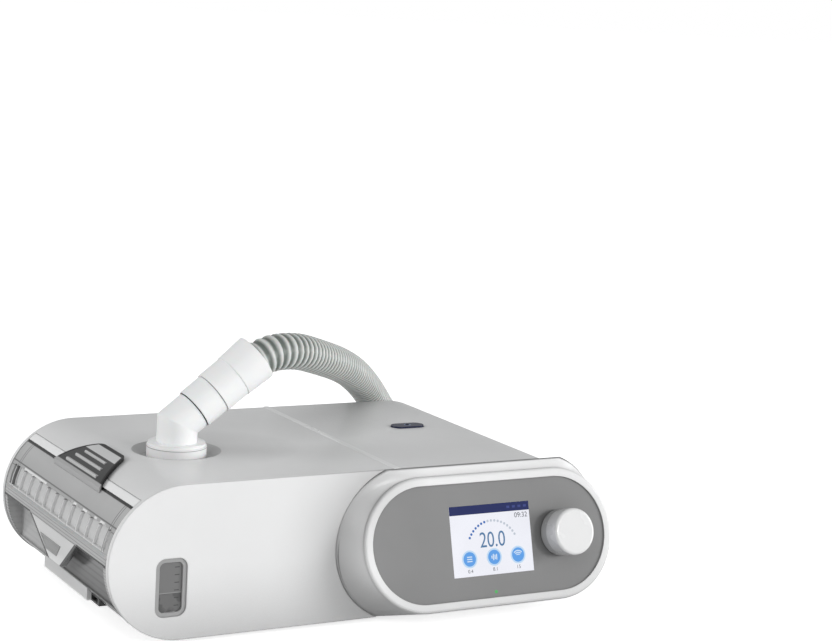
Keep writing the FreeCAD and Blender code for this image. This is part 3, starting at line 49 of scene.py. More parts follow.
# Millimetres from the machine's left end, its shell front and its shell underside.
machine = {"midAcross": 147.5, "midDeep": 67.661, "footHeight": 2.5, "height": 80.7, "depth": 165.0}
pod = {"across": 216.45, "front": 11.35, "level": 40.76, "tilt": radians(16.4)}
arm = {"across": 66.0, "back": 74.0, "bend": 95.3, "rise": radians(37.5)}


def spot(x, y, z):
    return Vector(((x - machine["midAcross"]) / 1000, (y - machine["midDeep"]) / 1000,
                   (z + machine["footHeight"]) / 1000))


def armSpot(distance):
    # on the middle line of the elbow's arm, from its bend
    return (arm["across"] + distance * cos(arm["rise"]), arm["back"],
            arm["bend"] + distance * sin(arm["rise"]))


def machineFrame(x, y, z, turn=Matrix.Identity(4)):
    # puts a millimetre mesh at a place on the machine
    return Matrix.Translation(spot(x, y, z)) @ turn @ Matrix.Scale(0.001, 4)


def podFrame(out):
    # turns flat meshes (x right, y up, z out) onto the tilted face
    turn = Matrix.Rotation(pi / 2 - pod["tilt"], 4, "X")
    return machineFrame(pod["across"], -out * cos(pod["tilt"]) - pod["front"],
                        pod["level"] + out * sin(pod["tilt"]), turn)


def addObject(name, data):
    piece = bpy.data.objects.new(name, data)
    scene.collection.objects.link(piece)
    return piece


def plainMesh(piece, name):
    # what the modifiers or the curve settings give, as a mesh of its own
    bpy.context.view_layer.update()
    mesh = bpy.data.meshes.new_from_object(piece.evaluated_get(bpy.context.evaluated_depsgraph_get()))
    mesh.name = name
    return mesh


# Short ways to build node trees. A node goes into the tree of the sockets it joins.
def isSocket(value):
    return isinstance(value, bpy.types.NodeSocket)


def feed(socket, value):
    # a socket takes what another one gives, or a fixed value
    if isSocket(value):
        socket.id_data.links.new(value, socket)
    else:
        socket.default_value = value


def setValues(node, values):
    for label, value in values.items():
        feed(node.inputs[label], value)


def addNode(tree, kind, values=None):
    node = tree.nodes.new(kind)
    setValues(node, values or {})
    return node


def newGroup(name, kind, inputs, outputs):
    # each socket is a label, a kind and perhaps a first value
    tree = bpy.data.node_groups.new(name, kind + "NodeTree")
    for side, sockets in (("INPUT", inputs), ("OUTPUT", outputs)):
        for label, socketKind, *value in sockets:
            socket = tree.interface.new_socket(label, in_out=side, socket_type="NodeSocket" + socketKind)
            if value:
                socket.default_value = value[0]
    return tree, tree.nodes.new("NodeGroupInput").outputs, tree.nodes.new("NodeGroupOutput").inputs


def addGroup(group, coordinates, values):
    node = addNode(coordinates.id_data, "ShaderNodeGroup")
    node.node_tree = group
    setValues(node, {"Coordinates": coordinates, **values})
    return node.outputs


def calc(operation, first, second=0.0):
    node = addNode((first if isSocket(first) else second).id_data, "ShaderNodeMath")
    node.operation = operation
    setValues(node, {0: first, 1: second})
    return node.outputs[0]


def tint(value):
    # a grey level, or three parts, as a full colour
    return (*value, 1.0) if isinstance(value, tuple) else (value, value, value, 1.0)


def mixColour(factor, first, second):
    mix = addNode(factor.id_data, "ShaderNodeMix")
    mix.data_type = "RGBA"
    first, second = [value if isSocket(value) else tint(value) for value in (first, second)]
    setValues(mix, {"Factor": factor, 6: first, 7: second})
    return mix.outputs[2]


def spread(value, low, high, fromLow=0.3, fromHigh=0.7):
    # carries one range onto another and stops at its ends
    limits = {"Value": value, "From Min": fromLow, "From Max": fromHigh, "To Min": low, "To Max": high}
    return addNode(value.id_data, "ShaderNodeMapRange", limits).outputs["Result"]


def rising(value, low, high):
    return spread(value, 0.0, 1.0, low, high)


def falling(value, low, high):
    return spread(value, 1.0, 0.0, low, high)


def both(first, second):
    return calc("MULTIPLY", first, second)


def either(first, second):
    return calc("MAXIMUM", first, second)


def between(value, low, high, soft=0.15):
    # 1 from low to high, with soft edges
    return both(rising(value, low - soft, low + soft), falling(value, high - soft, high + soft))


def aside(value, middle):
    # distance to either side
    return calc("ABSOLUTE", calc("SUBTRACT", value, middle))


def lines(value, start, pitch, half, soft=0.12):
    # thin lines that repeat at a pitch
    share = calc("FRACT", calc("DIVIDE", calc("SUBTRACT", value, start - pitch / 2), pitch))
    return falling(calc("MULTIPLY", aside(share, 0.5), pitch), half - soft, half + soft)


def diagonal(first, second):
    return calc("SQRT", calc("ADD", both(first, first), both(second, second)))


def noise(at, scale, detail):
    settings = {"Vector": at, "Scale": scale, "Detail": detail}
    return addNode(at.id_data, "ShaderNodeTexNoise", settings).outputs["Fac"]


def addBump(height, strength, distance=0.0003):
    settings = {"Height": height, "Strength": strength, "Distance": distance}
    return addNode(height.id_data, "ShaderNodeBump", settings)


# Shader groups shared by the finishes, and what the finishes have in common.
surface = {"grain": 900.0, "grainDetail": 3.0, "cloud": 18.0, "cloudDetail": 4.0, "depth": 0.1,
           "roughShares": (0.85, 1.2), "edgeSamples": 6, "creaseReach": 0.042, "creaseSamples": 8,
           "creaseLimits": (0.4, 1.0)}
dustLook = {"amount": 0.2, "facing": (0.6, 1.0), "scale": 60.0, "detail": 6.0, "speckle": (0.45, 0.75),
            "tone": (0.62, 0.61, 0.58)}


def buildMouldGrain():
    # fine moulded skin for bump, and slow clouds for handling marks
    tree, start, end = newGroup(
        "mouldGrain", "Shader",
        [("Coordinates", "Vector"), ("Grain Scale", "Float", surface["grain"]),
         ("Cloud Scale", "Float", surface["cloud"])],
        [("Height", "Float"), ("Cloud", "Float")])
    feed(end["Height"], noise(start["Coordinates"], start["Grain Scale"], surface["grainDetail"]))
    feed(end["Cloud"], noise(start["Coordinates"], start["Cloud Scale"], surface["cloudDetail"]))
    return tree


def buildDustFall():
    # dust that settles on what faces up
    tree, start, end = newGroup(
        "dustFall", "Shader", [("Coordinates", "Vector"), ("Amount", "Float", dustLook["amount"])],
        [("Mask", "Float")])
    normal = addNode(tree, "ShaderNodeNewGeometry").outputs["Normal"]
    upward = addNode(tree, "ShaderNodeSeparateXYZ", {0: normal}).outputs["Z"]
    facing = rising(upward, *dustLook["facing"])
    speckle = noise(start["Coordinates"], dustLook["scale"], dustLook["detail"])
    speckle = rising(speckle, *dustLook["speckle"])
    feed(end["Mask"], both(both(facing, speckle), start["Amount"]))
    return tree


mouldGrain = buildMouldGrain()
dustFall = buildDustFall()


# Marks painted by their place on the machine: ranges in millimetres, tones as grey levels,
# and lines as start, pitch, half width and softness.
def bodyAxes(coordinates):
    # millimetres across (X), deep (Y) and up (Z), measured as in the machine table
    settings = {"Vector": coordinates, "Scale": (1000, 1000, 1000),
                "Location": (machine["midAcross"], machine["midDeep"], -machine["footHeight"])}
    mapping = addNode(coordinates.id_data, "ShaderNodeMapping", settings)
    return addNode(coordinates.id_data, "ShaderNodeSeparateXYZ", {0: mapping.outputs[0]}).outputs


def layered(colour, tones, **masks):
    # paints each mask in its tone, one over the other
    for name, mask in masks.items():
        colour = mixColour(mask, colour, tones[name])
    return colour


patches = {"scale": 0.12, "detail": 2.0, "limits": (0.48, 0.56)}


def patchyMask(first, second):
    # patchy noise that breaks up the painted highlight on the lid's ledge and the streaks in the window's
    # water
    at = addNode(first.id_data, "ShaderNodeCombineXYZ", {"X": first, "Y": second}).outputs[0]
    return rising(noise(at, patches["scale"], patches["detail"]), *patches["limits"])


lid = {"fade": (58.5, 66.0), "cellHeights": (46.6, 57.3), "cellDepths": (8.6, 156.4),
       "fins": (88.95, 12.9, 0.75, 0.1), "finSides": (89.55, 12.9, 0.16, 0.08), "ledge": (57.7, 59.1),
       "shineBack": (106, 142), "shineFront": (10, 70), "rimLevels": ((59.4, 60.1), (57.1, 57.5)),
       "rimPlaces": (9.4, 11.6, 150.4, 152.8), "rimHalf": 0.3, "edge": (69.2, 75),
       "tones": {"fade": 0.48, "cells": 0.70, "fins": 0.86, "finSides": 0.22, "ledge": 0.98, "rims": 0.20,
                 "edge": 0.02}}


def lidMarks(colour, axes):
    deep, up = axes["Y"], axes["Z"]
    cells = both(between(up, *lid["cellHeights"]), between(deep, *lid["cellDepths"]))
    # painted highlight along the ledge, broken up by patchy noise
    shine = both(between(deep, *lid["shineFront"]), patchyMask(deep, up))
    shine = either(between(deep, *lid["shineBack"]), shine)
    rims = either(*[between(up, *levels) for levels in lid["rimLevels"]])
    for rim in lid["rimPlaces"]:
        rims = either(rims, between(deep, rim - lid["rimHalf"], rim + lid["rimHalf"]))
    return layered(colour, lid["tones"], fade=falling(up, *lid["fade"]), cells=cells,
                   # painted light: the fins are painted lighter than the cells over their shaded sides; a
                   # thin dark line runs along one side of each
                   fins=both(cells, lines(deep, *lid["fins"])),
                   finSides=both(cells, lines(deep, *lid["finSides"])),
                   ledge=both(between(up, *lid["ledge"]), shine), rims=rims, edge=between(up, *lid["edge"]))


tub = {"axis": 40.35, "middle": 82.5, "lines": (42.2, 1.7, 0.25), "recess": (39.1, 39.5),
       "recessAcross": (-5, 10.5), "lowFade": (17.0, 38.0), "backFade": (96.0, 108.0),
       "stripes": (20.0, 3.4, 0.5, 0.4), "stripeShares": (0.5, 0.1), "stripeFade": (60.0, 100.0),
       "rimLevels": (39.5, 41.0), "rimAcross": (-5, 6), "rimGap": (35.5, 36.5), "front": (0, 4.3),
       "tones": {"lines": 0.33, "low": 0.15, "high": 0.36, "back": 0.55, "stripes": 0.12, "rim": 0.03,
                 "front": 0.03}}


def tubMarks(colour, axes):
    # fine lines, painted shade in the recess in the end wall (darker low down, lighter towards the back), a
    # dark rim above it and a dark front edge
    across, deep, up = axes
    tones = tub["tones"]
    reach = diagonal(calc("SUBTRACT", across, tub["axis"]), calc("SUBTRACT", up, tub["axis"]))
    shadedRecess = both(falling(reach, *tub["recess"]), between(across, *tub["recessAcross"]))
    stripes = both(lines(up, *tub["stripes"]), spread(deep, *tub["stripeShares"], *tub["stripeFade"]))
    shade = mixColour(rising(up, *tub["lowFade"]), tones["low"], tones["high"])
    shade = layered(shade, tones, back=rising(deep, *tub["backFade"]), stripes=stripes)
    rim = both(between(up, *tub["rimLevels"]), between(across, *tub["rimAcross"]))
    rim = both(rim, rising(aside(deep, tub["middle"]), *tub["rimGap"]))
    colour = layered(colour, tones, lines=lines(up, *tub["lines"]))
    return layered(mixColour(shadedRecess, colour, shade), tones, rim=rim, front=between(deep, *tub["front"]))


tongue = {"middle": 82.5, "topHalf": 36.5, "tipHalf": 11.0, "top": 40.0, "low": 21.6, "fade": (22.0, 30.0),
          "lip": (7.6, 8.1), "tones": {"fade": 0.90, "lip": 0.04}}


def tongueMarks(colour, axes):
    # lighter towards its tip, with a black lip along its slanted sides
    up = axes["Z"]
    slope = (tongue["topHalf"] - tongue["tipHalf"]) / (tongue["top"] - tongue["low"])
    taper = calc("MULTIPLY", calc("SUBTRACT", up, tongue["low"]), slope)
    edge = calc("SUBTRACT", aside(axes["Y"], tongue["middle"]), taper)
    return layered(colour, tongue["tones"], fade=falling(up, *tongue["fade"]),
                   lip=rising(edge, *tongue["lip"]))


bar = {"low": (5, 10.1), "front": (30, 49.0), "tones": {"low": 0.95, "front": 0.04}}


def barMarks(colour, axes):
    return layered(colour, bar["tones"], low=between(axes["Z"], *bar["low"]),
                   front=between(axes["Y"], *bar["front"]))


tab = {"middle": 78.5, "start": 11.3, "startHalf": 34.5, "tip": 32.2, "tipHalf": 16.5,
       "sideRim": (32.1, 32.6), "tipRim": (29.6, 30.0), "field": (24.2, 29.8), "lidEdge": (5, 12.6),
       "ribs": ((14.2, 22.5), (18.0, 18.75), (21.8, 15.0)), "ribHalf": 0.8, "ribSoft": 0.2,
       "tones": {"field": 0.66, "rib": 0.6, "rim": 0.012, "lidEdge": 0.42}}


def tabMarks(colour, axes):
    # black rim round a smoky field, with light ribs near the lid's edge
    across = axes["X"]
    side = aside(axes["Y"], tab["middle"])
    slope = (tab["startHalf"] - tab["tipHalf"]) / (tab["tip"] - tab["start"])
    outward = calc("ADD", side, calc("MULTIPLY", calc("SUBTRACT", across, tab["start"]), slope))
    colour = layered(colour, tab["tones"], field=between(across, *tab["field"]))
    for rib, half in tab["ribs"]:
        reach = falling(side, half - tab["ribSoft"], half + tab["ribSoft"])
        width = between(across, rib - tab["ribHalf"], rib + tab["ribHalf"])
        colour = layered(colour, tab["tones"], rib=both(width, reach))
    rim = either(rising(outward, *tab["sideRim"]), rising(across, *tab["tipRim"]))
    return layered(colour, tab["tones"], rim=rim, lidEdge=between(across, *tab["lidEdge"]))


lens = {"water": (24.6, 24.8), "streaks": (24.0, 24.6), "streakShare": 0.6, "surface": (24.5, 24.9),
        "ticks": (18.0, 4.0, 0.22), "tickAcross": (36.6, 39.2),
        "tones": {"water": 0.085, "streaks": 0.17, "surface": 0.30, "ticks": 0.04}}


def lensMarks(colour, axes):
    # dark water with light streaks, a line at its surface, and ticks
    across, up = axes["X"], axes["Z"]
    streaks = both(falling(up, *lens["streaks"]), calc("SUBTRACT", 1.0, patchyMask(across, up)))
    return layered(colour, lens["tones"], water=falling(up, *lens["water"]),
                   streaks=calc("MULTIPLY", streaks, lens["streakShare"]),
                   surface=between(up, *lens["surface"]),
                   ticks=both(lines(up, *lens["ticks"]), between(across, *lens["tickAcross"])))


podShade = {"left": 168.0, "level": 40.5, "radius": 40.8, "reach": 42.0, "front": (0.6, 3.0), "shell": 0.34,
            "slope": 0.36, "slopeDeep": (-15.0, 0.0), "slopeAcross": (145.0, 180.0),
            "foot": (-0.4, 0.15, 0.1), "footHeights": (36.0, 46.0), "rear": (1.05, 1.5, 0.05),
            "tones": {"near": 0.0, "slope": 0.0, "rear": 0.40, "foot": 0.10}}


def shellMarks(colour, axes):
    # soft shade round the pod's foot
    across, deep, up = axes
    side = calc("MINIMUM", calc("SUBTRACT", across, podShade["left"]), 0.0)
    reach = diagonal(side, calc("SUBTRACT", up, podShade["level"]))
    near = falling(calc("SUBTRACT", reach, podShade["radius"]), 0.0, podShade["reach"])
    near = both(calc("POWER", near, 2.0), falling(deep, *podShade["front"]))
    return layered(colour, podShade["tones"], near=calc("MULTIPLY", near, podShade["shell"]))


def podMarks(colour, axes):
    # shade on the left slope, a band at the rear lip and a line low down at the shells
    across, deep, up = axes
    slope = both(spread(deep, 0.0, podShade["slope"], *podShade["slopeDeep"]),
                 falling(across, *podShade["slopeAcross"]))
    return layered(colour, podShade["tones"], slope=slope, rear=between(deep, *podShade["rear"]),
                   foot=both(between(deep, *podShade["foot"]), falling(up, *podShade["footHeights"])))


knob = {"skirt": (5.98, 6.22), "tones": {"skirt": 0.17}}


def knobMarks(colour, axes):
    # painted shade: a dark band low on the knob's side, next to the panel
    lift = calc("MULTIPLY", calc("SUBTRACT", axes["Z"], pod["level"]), sin(pod["tilt"]))
    ahead = calc("MULTIPLY", calc("ADD", axes["Y"], pod["front"]), -cos(pod["tilt"]))
    return layered(colour, knob["tones"], skirt=falling(calc("ADD", lift, ahead), *knob["skirt"]))


marks = {"shellWhite": shellMarks, "podWhite": podMarks, "knobWhite": knobMarks, "tankLid": lidMarks,
         "tankTub": tubMarks, "tongueGrey": tongueMarks, "barGrey": barMarks, "tabSmoke": tabMarks,
         "windowSmoke": lensMarks}


def newMaterial(name):
    material = bpy.data.materials.new(name)
    material.use_nodes = True
    tree = material.node_tree
    return material, tree.nodes["Principled BSDF"], addNode(tree, "ShaderNodeTexCoord").outputs["Object"]


def finish(name, look):
    # one finish: base colour clouds, painted shade in creases, dust, roughness clouds, moulded skin and
    # softened edges
    material, shader, coordinates = newMaterial(name)
    tree = material.node_tree
    grain = addGroup(mouldGrain, coordinates, {"Grain Scale": look.get("grain", surface["grain"]),
                                               "Cloud Scale": look.get("cloud", surface["cloud"])})
    colour = mixColour(spread(grain["Cloud"], 0.0, 1.0), *look["tones"])
    if name in marks:
        colour = marks[name](colour, bodyAxes(coordinates))
    if "creaseShade" in look:
        # painted shade: an occlusion node darkens the base colour in creases, corners and next to other parts
        corner = addNode(tree, "ShaderNodeAmbientOcclusion", {"Distance": surface["creaseReach"]})
        corner.samples = surface["creaseSamples"]
        shade = tuple(part * (1 - look["creaseShade"]) for part in tint(look["tones"][0])[:3])
        colour = mixColour(falling(corner.outputs["AO"], *surface["creaseLimits"]), colour, shade)
    if "dust" in look:
        dust = addGroup(dustFall, coordinates, {"Amount": look["dust"]})
        colour = mixColour(dust["Mask"], colour, dustLook["tone"])
    bump = addBump(grain["Height"], look.get("depth", surface["depth"]))
    if "edge" in look:
        soft = addNode(tree, "ShaderNodeBevel", {"Radius": look["edge"]})
        soft.samples = surface["edgeSamples"]
        feed(bump.inputs["Normal"], soft.outputs["Normal"])
    smooth, dull = [look["rough"] * share for share in surface["roughShares"]]
    setValues(shader, {"Base Color": colour, "Roughness": spread(grain["Cloud"], smooth, dull),
                       "Normal": bump.outputs["Normal"], **look.get("fixed", {})})
    return material


satin = {"Coat Weight": 0.12, "Coat Roughness": 0.15, "Specular IOR Level": 0.35}
glossy = {"Coat Weight": 0.3, "Coat Roughness": 0.1}
smoky = {"Transmission Weight": 0.12, "IOR": 1.48, "Coat Weight": 0.25}
metal = {"Metallic": 1.0}
finishes = {
    "shellWhite": {"tones": (0.82, 0.795), "rough": 0.34, "grain": 1400.0, "depth": 0.06, "edge": 0.0012,
                   "dust": 0.04, "creaseShade": 0.42, "fixed": satin},
    "dockWhite": {"tones": (0.97, 0.95), "rough": 0.3, "grain": 1400.0, "depth": 0.05, "edge": 0.0006,
                  "dust": 0.02},
    "podWhite": {"tones": (0.82, 0.795), "rough": 0.32, "grain": 1400.0, "depth": 0.06, "edge": 0.0008,
                 "dust": 0.03, "creaseShade": 0.42, "fixed": satin},
    "elbowWhite": {"tones": (0.95, 0.92), "rough": 0.36, "grain": 1100.0, "depth": 0.08, "edge": 0.0006,
                   "fixed": {"Subsurface Weight": 0.08, "Subsurface Scale": 0.004}},
    "knobWhite": {"tones": (0.80, 0.775), "rough": 0.26, "grain": 1600.0, "depth": 0.04, "edge": 0.0005,
                  "creaseShade": 0.4, "fixed": {"Coat Weight": 0.3, "Coat Roughness": 0.08}},
    "panelGrey": {"tones": (0.23, 0.217), "rough": 0.42, "grain": 1800.0, "creaseShade": 0.25,
                  "fixed": {"Coat Weight": 0.1, "Coat Roughness": 0.2, "Specular IOR Level": 0.3}},
    "tankLid": {"tones": (0.60, 0.55), "rough": 0.14, "grain": 500.0, "depth": 0.03, "cloud": 30.0,
                "edge": 0.0005, "fixed": smoky},
    "tankTub": {"tones": (0.56, 0.50), "rough": 0.14, "grain": 500.0, "depth": 0.03, "cloud": 30.0,
                "edge": 0.0005, "fixed": smoky},
    "tongueGrey": {"tones": (0.76, 0.72), "rough": 0.22, "depth": 0.05, "edge": 0.0008, "fixed": glossy},
    "barGrey": {"tones": (0.69, 0.65), "rough": 0.22, "depth": 0.05, "edge": 0.0006, "fixed": glossy},
    "tabSmoke": {"tones": (0.07, 0.055), "rough": 0.34, "depth": 0.05, "edge": 0.0005,
                 "fixed": {"Coat Weight": 0.05, "Specular IOR Level": 0.25}},
    "windowSmoke": {"tones": (0.175, 0.16), "rough": 0.1, "grain": 500.0, "depth": 0.02,
                    "fixed": {"Coat Weight": 0.4, "Coat Roughness": 0.04}},
    "softSilicone": {"tones": (0.45, 0.40), "rough": 0.55, "grain": 700.0, "depth": 0.12,
                     "fixed": {"Subsurface Weight": 0.15, "Subsurface Scale": 0.003}},
    "footRubber": {"tones": (0.03, 0.045), "rough": 0.75, "grain": 600.0, "depth": 0.3},
    "screwSteel": {"tones": (0.60, 0.50), "rough": 0.28, "grain": 700.0, "fixed": metal},
    "heaterMetal": {"tones": (0.66, 0.55), "rough": 0.34, "grain": 500.0, "depth": 0.2, "fixed": metal},
    "windowGrey": {"tones": (0.36, 0.33), "rough": 0.3, "grain": 1200.0, "depth": 0.08, "edge": 0.0005},
    "boardGreen": {"tones": ((0.02, 0.11, 0.05), (0.015, 0.08, 0.04)), "rough": 0.4, "grain": 400.0,
                   "depth": 0.2, "cloud": 200.0},
    "partBlack": {"tones": (0.025, 0.035), "rough": 0.5, "depth": 0.15},
    "gapBlack": {"tones": (0.012, 0.018), "rough": 0.8, "grain": 700.0},
    "dishGrey": {"tones": (0.47, 0.42), "rough": 0.4},
    "seamHighlight": {"tones": (0.87, 0.85), "rough": 0.3, "depth": 0.04},
    "buttonNavy": {"tones": ((0.010, 0.014, 0.05), (0.008, 0.012, 0.042)), "rough": 0.32, "grain": 1400.0,
                   "depth": 0.06, "edge": 0.0004, "fixed": {"Coat Weight": 0.08, "Specular IOR Level": 0.3}},
    "buttonMark": {"tones": ((0.35, 0.42, 0.62), (0.30, 0.37, 0.56)), "rough": 0.4, "grain": 1400.0,
                   "depth": 0.05},
    "baseGrey": {"tones": (0.40, 0.36), "rough": 0.5, "grain": 800.0, "depth": 0.2, "edge": 0.0005},
    "filterFoam": {"tones": ((0.70, 0.72, 0.74), (0.58, 0.60, 0.62)), "rough": 0.95, "grain": 1500.0,
                   "depth": 0.8, "cloud": 400.0},
    "lightGreen": {"tones": ((0.05, 0.34, 0.08), (0.06, 0.40, 0.10)), "rough": 0.25,
                   "fixed": {"Emission Color": tint((0.10, 0.62, 0.10)), "Emission Strength": 0.1}},
}
made = {name: finish(name, look) for name, look in finishes.items()}
print("finishes built", len(made))

dressing = {
    "shellWhite": ["humidifier_cover", "main_cover", "filter_cover"],
    "dockWhite": ["tank_dock"],
    "podWhite": ["pod_bezel"],
    "elbowWhite": ["elbow", "cuff_collar", "hose_cuff", "outlet_port", "hose_end_cuff"],
    "knobWhite": ["knob"],
    "panelGrey": ["control_panel"],
    "tankTub": ["tank_tub"],
    "tankLid": ["tank_lid"],
    "tongueGrey": ["tank_tongue"],
    "barGrey": ["tank_finger_bar"],
    "tabSmoke": ["tank_thumb_tab"],
    "windowSmoke": ["window_lens"],
    "softSilicone": ["port_seals", "blower_mount", "air_duct", "tank_seal"],
    "footRubber": ["feet"],
    "screwSteel": ["base_screws", "heater_springs", "rotary_encoder", "encoder_plunger", "encoder_shaft",
                   "motor_shaft", "blower_motor"],
    "heaterMetal": ["heater_plate", "tank_base_plate"],
    "windowGrey": ["window_frame"],
    "boardGreen": ["main_board", "button_board", "display_board"],
    "partBlack": ["power_inlet", "board_parts", "button_switch", "screen_module"],
    "buttonNavy": ["start_button"],
    "baseGrey": ["humidifier_base", "main_base", "outlet_duct", "blower_housing", "blower_lid", "impeller"],
    "filterFoam": ["air_filter", "inlet_muffler"],
    "lightGreen": ["status_light"],
}


def dress(node, material):
    nodes[node].data.materials.clear()
    nodes[node].data.materials.append(material)


for name, members in dressing.items():
    for node in members:
        dress(node, made[name])


# Small pieces: thin solids on flat outlines, and skins over rows of points.
def toMesh(name, form):
    bmesh.ops.recalc_face_normals(form, faces=form.faces)
    mesh = bpy.data.meshes.new(name)
    form.to_mesh(mesh)
    form.free()
    return mesh


def bridge(form, near, far):
    for index in range(len(near)):
        form.faces.new((near[index - 1], near[index], far[index], far[index - 1]))


def slabs(name, outlines, thick):
    form = bmesh.new()
    for outline in outlines:
        low, high = [[form.verts.new((x, y, z)) for x, y in outline] for z in (0.0, thick)]
        form.faces.new(low[::-1])
        form.faces.new(high)
        bridge(form, low, high)
    bmesh.ops.triangulate(form, faces=[face for face in form.faces if len(face.verts) > 4])
    return toMesh(name, form)


def loft(name, rows, closed=False):
    # the rows are closed loops; the last one joins the first, or both ends are capped
    form = bmesh.new()
    rows = [[form.verts.new(point) for point in row] for row in rows]
    for near, far in zip(rows, rows[1:]):
        bridge(form, near, far)
    if closed:
        bridge(form, rows[-1], rows[0])
    else:
        form.faces.new(rows[0])
        form.faces.new(rows[-1])
    return toMesh(name, form)


def turnedRing(name, profile, steps=72, sharp=35):
    # a closed profile of (radius, height) pairs, carried round the upright axis
    angles = [2 * pi * step / steps for step in range(steps)]
    mesh = loft(name, [[(radius * cos(angle), radius * sin(angle), height)
                        for radius, height in profile] for angle in angles], closed=True)
    mesh.shade_smooth()
    mesh.set_sharp_from_angle(angle=radians(sharp))
    return mesh


def arc(x, y, radius, angles):
    return [(x + radius * cos(angle), y + radius * sin(angle)) for angle in angles]


def circle(x, y, radius, steps=36):
    return arc(x, y, radius, [2 * pi * step / steps for step in range(steps)])


def arcBand(x, y, inner, outer, start, end, steps=24):
    # part of a flat ring, from one angle to another in degrees
    angles = [radians(start + (end - start) * step / steps) for step in range(steps + 1)]
    return arc(x, y, outer, angles) + arc(x, y, inner, angles[::-1])


def oblong(x, y, width, height):
    return [(x - width / 2, y - height / 2), (x + width / 2, y - height / 2),
            (x + width / 2, y + height / 2), (x - width / 2, y + height / 2)]


def place(mesh, turn, material, body):
    mesh.transform(turn)
    mesh.materials.append(material)
    piece = addObject(mesh.name, mesh)
    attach(piece, body)


# Screen: a lit face with a header, a clock, a dotted gauge, a reading and three round keys.
screenFace = {"width": 50.8, "height": 38.1, "thick": 0.03, "layer": 0.4,
              "upperLayers": {"keyBlue": 0.8, "headerMark": 1.0, "keyMark": 1.2}, "header": 4.8,
              "headerMarks": (12.0, 15.6, 19.2, 22.8), "headerMark": (1.9, 1.3),
              "clock": "09:32", "clockAt": (19.8, 11.9), "clockHeight": 2.7,
              "reading": "20.0", "readingAt": (0.4, 0.0), "readingHeight": 8.3, "readingWidth": 16.0,
              "gauge": (0.5, -6.3), "gaugeRadius": 16.4, "gaugeStart": 151.0, "gaugeStep": -7.6,
              "litDots": 7, "paleDots": 10, "dotRadius": 0.72, "dotSides": 14,
              "keys": (-15.0, 0.6, 15.9), "keyLevel": -9.7, "keyRadius": 3.9, "haloRadius": 4.8,
              "notes": ("0.4", "8.1", "15"), "noteLevel": -16.2, "noteHeight": 1.9}
keySigns = {"bars": (-1.2, 0.0, 1.2), "bar": (3.2, 0.55), "columnWidth": 0.6,
            "columns": ((-1.5, 1.6), (-0.5, 3.4), (0.5, 2.4), (1.5, 3.0)),
            "arcs": (1.0, 2.0, 3.0), "arcWidth": 0.5, "arcDrop": 1.0, "arcEnds": (40, 140)}
screenInk = {"screenWhite": (0.90, 0.91, 0.98), "headerNavy": (0.008, 0.017, 0.11),
             "headerMark": (0.04, 0.06, 0.24), "clockGrey": (0.10, 0.11, 0.13),
             "readingBlue": (0.085, 0.20, 0.38), "dotBlue": (0.05, 0.16, 0.48), "dotPale": (0.55, 0.60, 0.68),
             "keyBlue": (0.115, 0.36, 0.83), "keyHalo": (0.55, 0.74, 0.94), "keyMark": (0.72, 0.84, 0.96)}
screenGlow = {"cellPitch": 0.0003, "cellDepth": 0.12, "cellGap": (0.12, 0.2), "unevenScale": 35.0,
              "unevenDetail": 2.0, "dim": 0.94, "rough": (0.2, 0.26),
              "fixed": {"Emission Strength": 1.0, "Base Color": tint(0.015), "Specular IOR Level": 0.1}}


def buildCellRows():
    # rows and columns of picture cells, and an uneven backlight
    tree, start, end = newGroup(
        "cellRows", "Shader",
        [("Coordinates", "Vector"), ("Pitch", "Float", screenGlow["cellPitch"]),
         ("Depth", "Float", screenGlow["cellDepth"])],
        [("Shade", "Float"), ("Backlight", "Float")])
    split = addNode(tree, "ShaderNodeSeparateXYZ", {0: start["Coordinates"]}).outputs
    gaps = [falling(calc("FRACT", calc("DIVIDE", split[axis], start["Pitch"])), *screenGlow["cellGap"])
            for axis in ("X", "Z")]
    feed(end["Shade"], both(either(*gaps), start["Depth"]))
    uneven = noise(start["Coordinates"], screenGlow["unevenScale"], screenGlow["unevenDetail"])
    feed(end["Backlight"], uneven)
    return tree


cellRows = buildCellRows()


def litFinish(name, colour):
    # a lit part of the screen under its clear cover
    material, shader, coordinates = newMaterial(name)
    cells = addGroup(cellRows, coordinates, {})
    dimmed = tuple(part * screenGlow["dim"] for part in colour)
    light = mixColour(spread(cells["Backlight"], 0.0, 1.0), colour, dimmed)
    setValues(shader, {"Emission Color": mixColour(cells["Shade"], light, 0.0),
                       "Roughness": spread(cells["Backlight"], *screenGlow["rough"]), **screenGlow["fixed"]})
    return material


made.update({name: litFinish(name, colour) for name, colour in screenInk.items()})
dress("screen_lens", made["screenWhite"])


def screenPiece(mesh, ink):
    # its layer is counted in thicknesses, out from the glass
    layer = screenFace["upperLayers"].get(ink, screenFace["layer"])
    place(mesh, podFrame(layer * screenFace["thick"]), made[ink], "machine")


def figures(name, words, height, centre, width=None):
    # plain figures from Blender's own font, sized by their own box
    data = bpy.data.curves.new(name, "FONT")
    data.body = words
    data.extrude = 0.002
    holder = addObject(name + "Holder", data)
    flat = plainMesh(holder, name + "Flat")
    bpy.data.objects.remove(holder)
    form = bmesh.new()
    form.from_mesh(flat)
    bmesh.ops.remove_doubles(form, verts=form.verts, dist=0.0001)
    mesh = toMesh(name, form)
    low, high = [[pick(vertex.co[axis] for vertex in mesh.vertices) for axis in range(3)]
                 for pick in (min, max)]
    scale = height / (high[1] - low[1])
    wide = width / (high[0] - low[0]) if width else scale
    mesh.transform(Matrix.Translation((*centre, 0)) @ Matrix.Diagonal((wide, scale, scale, 1))
                   @ Matrix.Translation((-(low[0] + high[0]) / 2, -(low[1] + high[1]) / 2, -low[2])))
    return mesh


